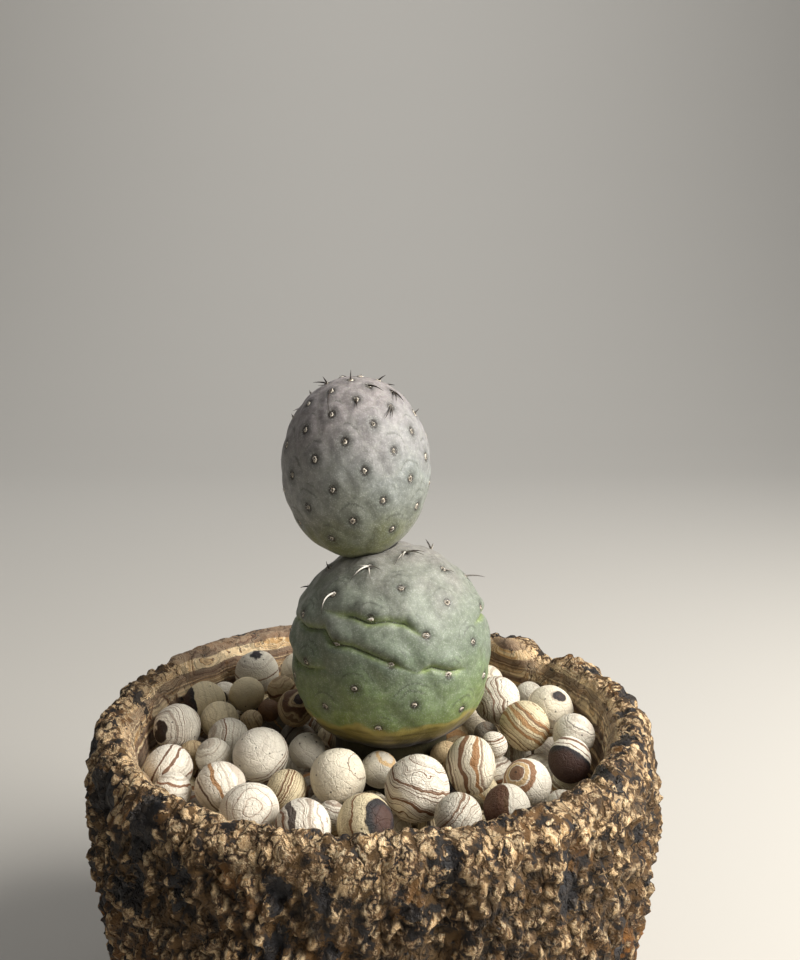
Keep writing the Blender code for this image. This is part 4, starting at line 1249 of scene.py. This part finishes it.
class CACTUS_OT_lower_pebbles(bpy.types.Operator):
    """Make the pebbles under the top ones"""

    bl_idname = "cactus.lower_pebbles"
    bl_label = "Lower pebbles"

    def execute(self, context):
        rng = random.Random(BED_SEED)
        bm = bmesh.new()
        layers = pebble_layers(bm)
        for index, centre in enumerate(lower_pebble_places()):
            radius = BED_PITCH / 2 * rng.uniform(0.94, 0.99)
            add_pebble(bm, layers, centre, (radius,) * 3, LOWER_SUBDIVISIONS, index, random_look(rng))
        material = agate_clay(context.scene.cactus_filling)
        add_piece("lower_pebbles", bm, material, "pebbles", "pebble_bed")
        return {"FINISHED"}


class CACTUS_OT_top_pebbles(bpy.types.Operator):
    """Make the banded pebbles on top, one piece each"""

    bl_idname = "cactus.top_pebbles"
    bl_label = "Top pebbles"

    def execute(self, context):
        if len(LOOKS) != PEBBLE_COUNT:
            raise ValueError(f"{len(LOOKS)} looks for {PEBBLE_COUNT} pebbles")
        material = bpy.data.materials["agate_clay"]
        for index, look in enumerate(LOOKS):
            node = f"pebble_{index + 1:02d}"
            low, high = (Vector(corner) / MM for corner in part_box(node))
            bm = bmesh.new()
            layers = pebble_layers(bm)
            add_pebble(bm, layers, (low + high) / 2, (high - low) / 2, TOP_SUBDIVISIONS,
                       PEBBLE_SEED + index, look)
            add_piece("banded_" + node, bm, material, "pebbles", node)
        return {"FINISHED"}


class CACTUS_OT_lower_segment(bpy.types.Operator):
    """Make the folded lower stem segment"""

    bl_idname = "cactus.lower_segment"
    bl_label = "Lower segment"

    def execute(self, context):
        upper, lower = stem_segments()
        blush_and_shade = context.scene.cactus_plant.lower_blush_and_shade
        material = stem_skin("lower_skin", LOWER_SKIN, blush_and_shade, *LOWER_BLUSH_AND_SHADE, CORK_TOP)
        bm = segment_body(lower, *LOWER_MESH, True, upper)
        add_piece("lower_stem", bm, material, "lower_skin", "lower_segment")
        return {"FINISHED"}


class CACTUS_OT_upper_segment(bpy.types.Operator):
    """Make the smooth upper stem segment"""

    bl_idname = "cactus.upper_segment"
    bl_label = "Upper segment"

    def execute(self, context):
        upper, _ = stem_segments()
        blush_and_shade = context.scene.cactus_plant.upper_blush_and_shade
        material = stem_skin("upper_skin", UPPER_SKIN, blush_and_shade, *UPPER_BLUSH_AND_SHADE, None)
        bm = segment_body(upper, *UPPER_MESH, False)
        add_piece("upper_stem", bm, material, "upper_skin", "upper_segment")
        return {"FINISHED"}


class CACTUS_OT_areoles(bpy.types.Operator):
    """Make the wool of the areoles"""

    bl_idname = "cactus.areoles"
    bl_label = "Areole wool"

    def execute(self, context):
        upper, lower = stem_segments()
        material = areole_wool(context.scene.cactus_plant)
        rng = random.Random(WOOL_SEED)
        for name, segment, cover, sizes, slot in (
            ("upper_wool", upper, None, UPPER_WOOL, "upper_skin"),
            ("lower_wool", lower, upper, LOWER_WOOL, "lower_skin"),
        ):
            bm = bmesh.new()
            core = bm.verts.layers.float.new("core")
            for areole in shown_areoles(segment, cover):
                add_wool(bm, core, segment, areole, sizes, rng)
            add_piece(name, bm, material, slot)
        return {"FINISHED"}


class CACTUS_OT_spines(bpy.types.Operator):
    """Make the spines and the short bristles"""

    bl_idname = "cactus.spines"
    bl_label = "Spines"

    def execute(self, context):
        upper, lower = stem_segments()
        material = spine_horn(context.scene.cactus_plant)
        rng = random.Random(WOOL_SEED)
        for name, segment, cover, plan, slot in (
            ("upper_spines", upper, None, spine_plan(upper, UPPER_SPINES, UPPER_BACK_FROM),
             "upper_skin"),
            ("lower_spines", lower, upper, spine_plan(lower, LOWER_SPINES, LOWER_BACK_FROM),
             "lower_skin"),
        ):
            bm = bmesh.new()
            pale = bm.verts.layers.float.new("pale")
            for root, tip, normal, whiteness, bend in plan:
                if cover and (tip - cover.centre).length < cover.half_height + SPINE_CLEARANCE:
                    continue
                add_spine(bm, pale, root, tip, normal, SPINE_RADIUS, whiteness, bend)
            for areole in shown_areoles(segment, cover):
                point, normal, up, right = skin_frame(segment, areole)
                for _ in range(BRISTLES):
                    turn = rng.uniform(0, math.tau)
                    aim = (up * math.sin(turn) + right * math.cos(turn)) * 0.7 + normal
                    tip = point + aim.normalized() * rng.uniform(*BRISTLE_LENGTH)
                    add_spine(bm, pale, point - normal * 0.2, tip, up, BRISTLE_RADIUS, 0.8, 0.1, 2)
            add_piece(name, bm, material, slot)
        return {"FINISHED"}


class CACTUS_OT_stage(bpy.types.Operator):
    """Set the floor, the lights and the camera"""

    bl_idname = "cactus.stage"
    bl_label = "Stage"

    def execute(self, context):
        settings = context.scene.cactus_stage
        bm = bmesh.new()
        verts = [bm.verts.new((side * FLOOR_HALF_WIDTH, FLOOR_FRONT, 0)) for side in (-1, 1)]
        edge = [bm.edges.new(verts)]
        turns = [math.radians(angle) for angle in range(0, 91, 10)]
        steps = [(SWEEP_START + SWEEP_RADIUS * math.sin(turn), SWEEP_RADIUS * (1 - math.cos(turn)))
                 for turn in turns]
        steps.append((SWEEP_START + SWEEP_RADIUS, BACKDROP_HEIGHT))
        for y, z in steps:
            edge, fresh = extruded(bm, edge)
            for vertex in fresh:
                vertex.co.y, vertex.co.z = y, z
        bmesh.ops.recalc_face_normals(bm, faces=bm.faces)
        material, _, _, finish = new_material("matte_paper")
        finish(Base_Color=settings.floor, Roughness=0.9)
        floor = smooth_object("floor", bm, material)
        plant, wall = (0, 0, 0.09), (0, 2.0, 0.3)
        for name, place, aim, size, power, colour in (
            ("window_light", (0.53, -0.18, 0.48), plant, 0.5, settings.window_power, "#FFFBF4"),
            ("fill_light", (-0.5, -0.5, 0.35), plant, 0.5, settings.fill_power, "#FFF6EC"),
            ("wall_light", (0.0, 0.7, 1.5), wall, 1.2, settings.wall_power, "#FFFFFF"),
        ):
            data = bpy.data.lights.new(name, "AREA")
            data.shape = "SQUARE"
            data.size = size
            data.energy = power
            data.color = hex_colour(colour)
            light = add_object(name, data)
            light.location = place
            light.rotation_euler = (Vector(aim) - Vector(place)).to_track_quat("-Z", "Y").to_euler()
        world = bpy.data.worlds.new("soft_air")
        world.use_nodes = True
        air = world.node_tree.nodes["Background"]
        fill_node(world.node_tree, air, AIR_COLOUR, settings.air)
        context.scene.world = world
        context.scene.view_settings.view_transform = "Standard"
        data = bpy.data.cameras.new("camera")
        data.lens = settings.lens
        data.sensor_width = 36.0
        data.clip_start = 0.01
        camera = add_object("camera", data)
        camera.location = Vector(VIEWPOINT) * MM
        camera.rotation_euler = (math.radians(90 - CAMERA_PITCH), 0, 0)
        context.scene.camera = camera
        return {"FINISHED"}


class CACTUS_PT_panel(bpy.types.Panel):
    """Buttons that make the pieces of the potted tephrocactus"""

    bl_idname = "CACTUS_PT_panel"
    bl_label = "Potted Tephrocactus"
    bl_space_type = "VIEW_3D"
    bl_region_type = "UI"
    bl_category = "Cactus"

    def draw(self, context):
        for setting_name, _, operators in GROUPS:
            box = self.layout.box()
            group = getattr(context.scene, setting_name)
            for name in group.__annotations__:
                box.prop(group, name)
            for operator in operators:
                box.operator(operator.bl_idname)


GROUPS = (
    ("cactus_bowl", BowlSettings, (CACTUS_OT_bowl,)),
    ("cactus_filling", FillingSettings,
     (CACTUS_OT_soil, CACTUS_OT_lower_pebbles, CACTUS_OT_top_pebbles)),
    ("cactus_plant", PlantSettings,
     (CACTUS_OT_lower_segment, CACTUS_OT_upper_segment, CACTUS_OT_areoles, CACTUS_OT_spines)),
    ("cactus_stage", StageSettings, (CACTUS_OT_stage,)),
)


def register():
    """Register the settings, the operators and the panel."""
    for name, settings, operators in GROUPS:
        for added in (settings, *operators):
            bpy.utils.register_class(added)
        setattr(bpy.types.Scene, name, PointerProperty(type=settings))
    bpy.utils.register_class(CACTUS_PT_panel)


def unregister():
    """Take everything out again, last first."""
    bpy.utils.unregister_class(CACTUS_PT_panel)
    for name, settings, operators in reversed(GROUPS):
        delattr(bpy.types.Scene, name)
        for added in (*reversed(operators), settings):
            bpy.utils.unregister_class(added)


def main():
    """Make every piece."""
    register()
    bpy.ops.cactus.stage()
    bpy.ops.cactus.bowl()
    bpy.ops.cactus.soil()
    bpy.ops.cactus.lower_pebbles()
    bpy.ops.cactus.top_pebbles()
    bpy.ops.cactus.lower_segment()
    bpy.ops.cactus.upper_segment()
    bpy.ops.cactus.areoles()
    bpy.ops.cactus.spines()


if __name__ == "__main__":
    main()
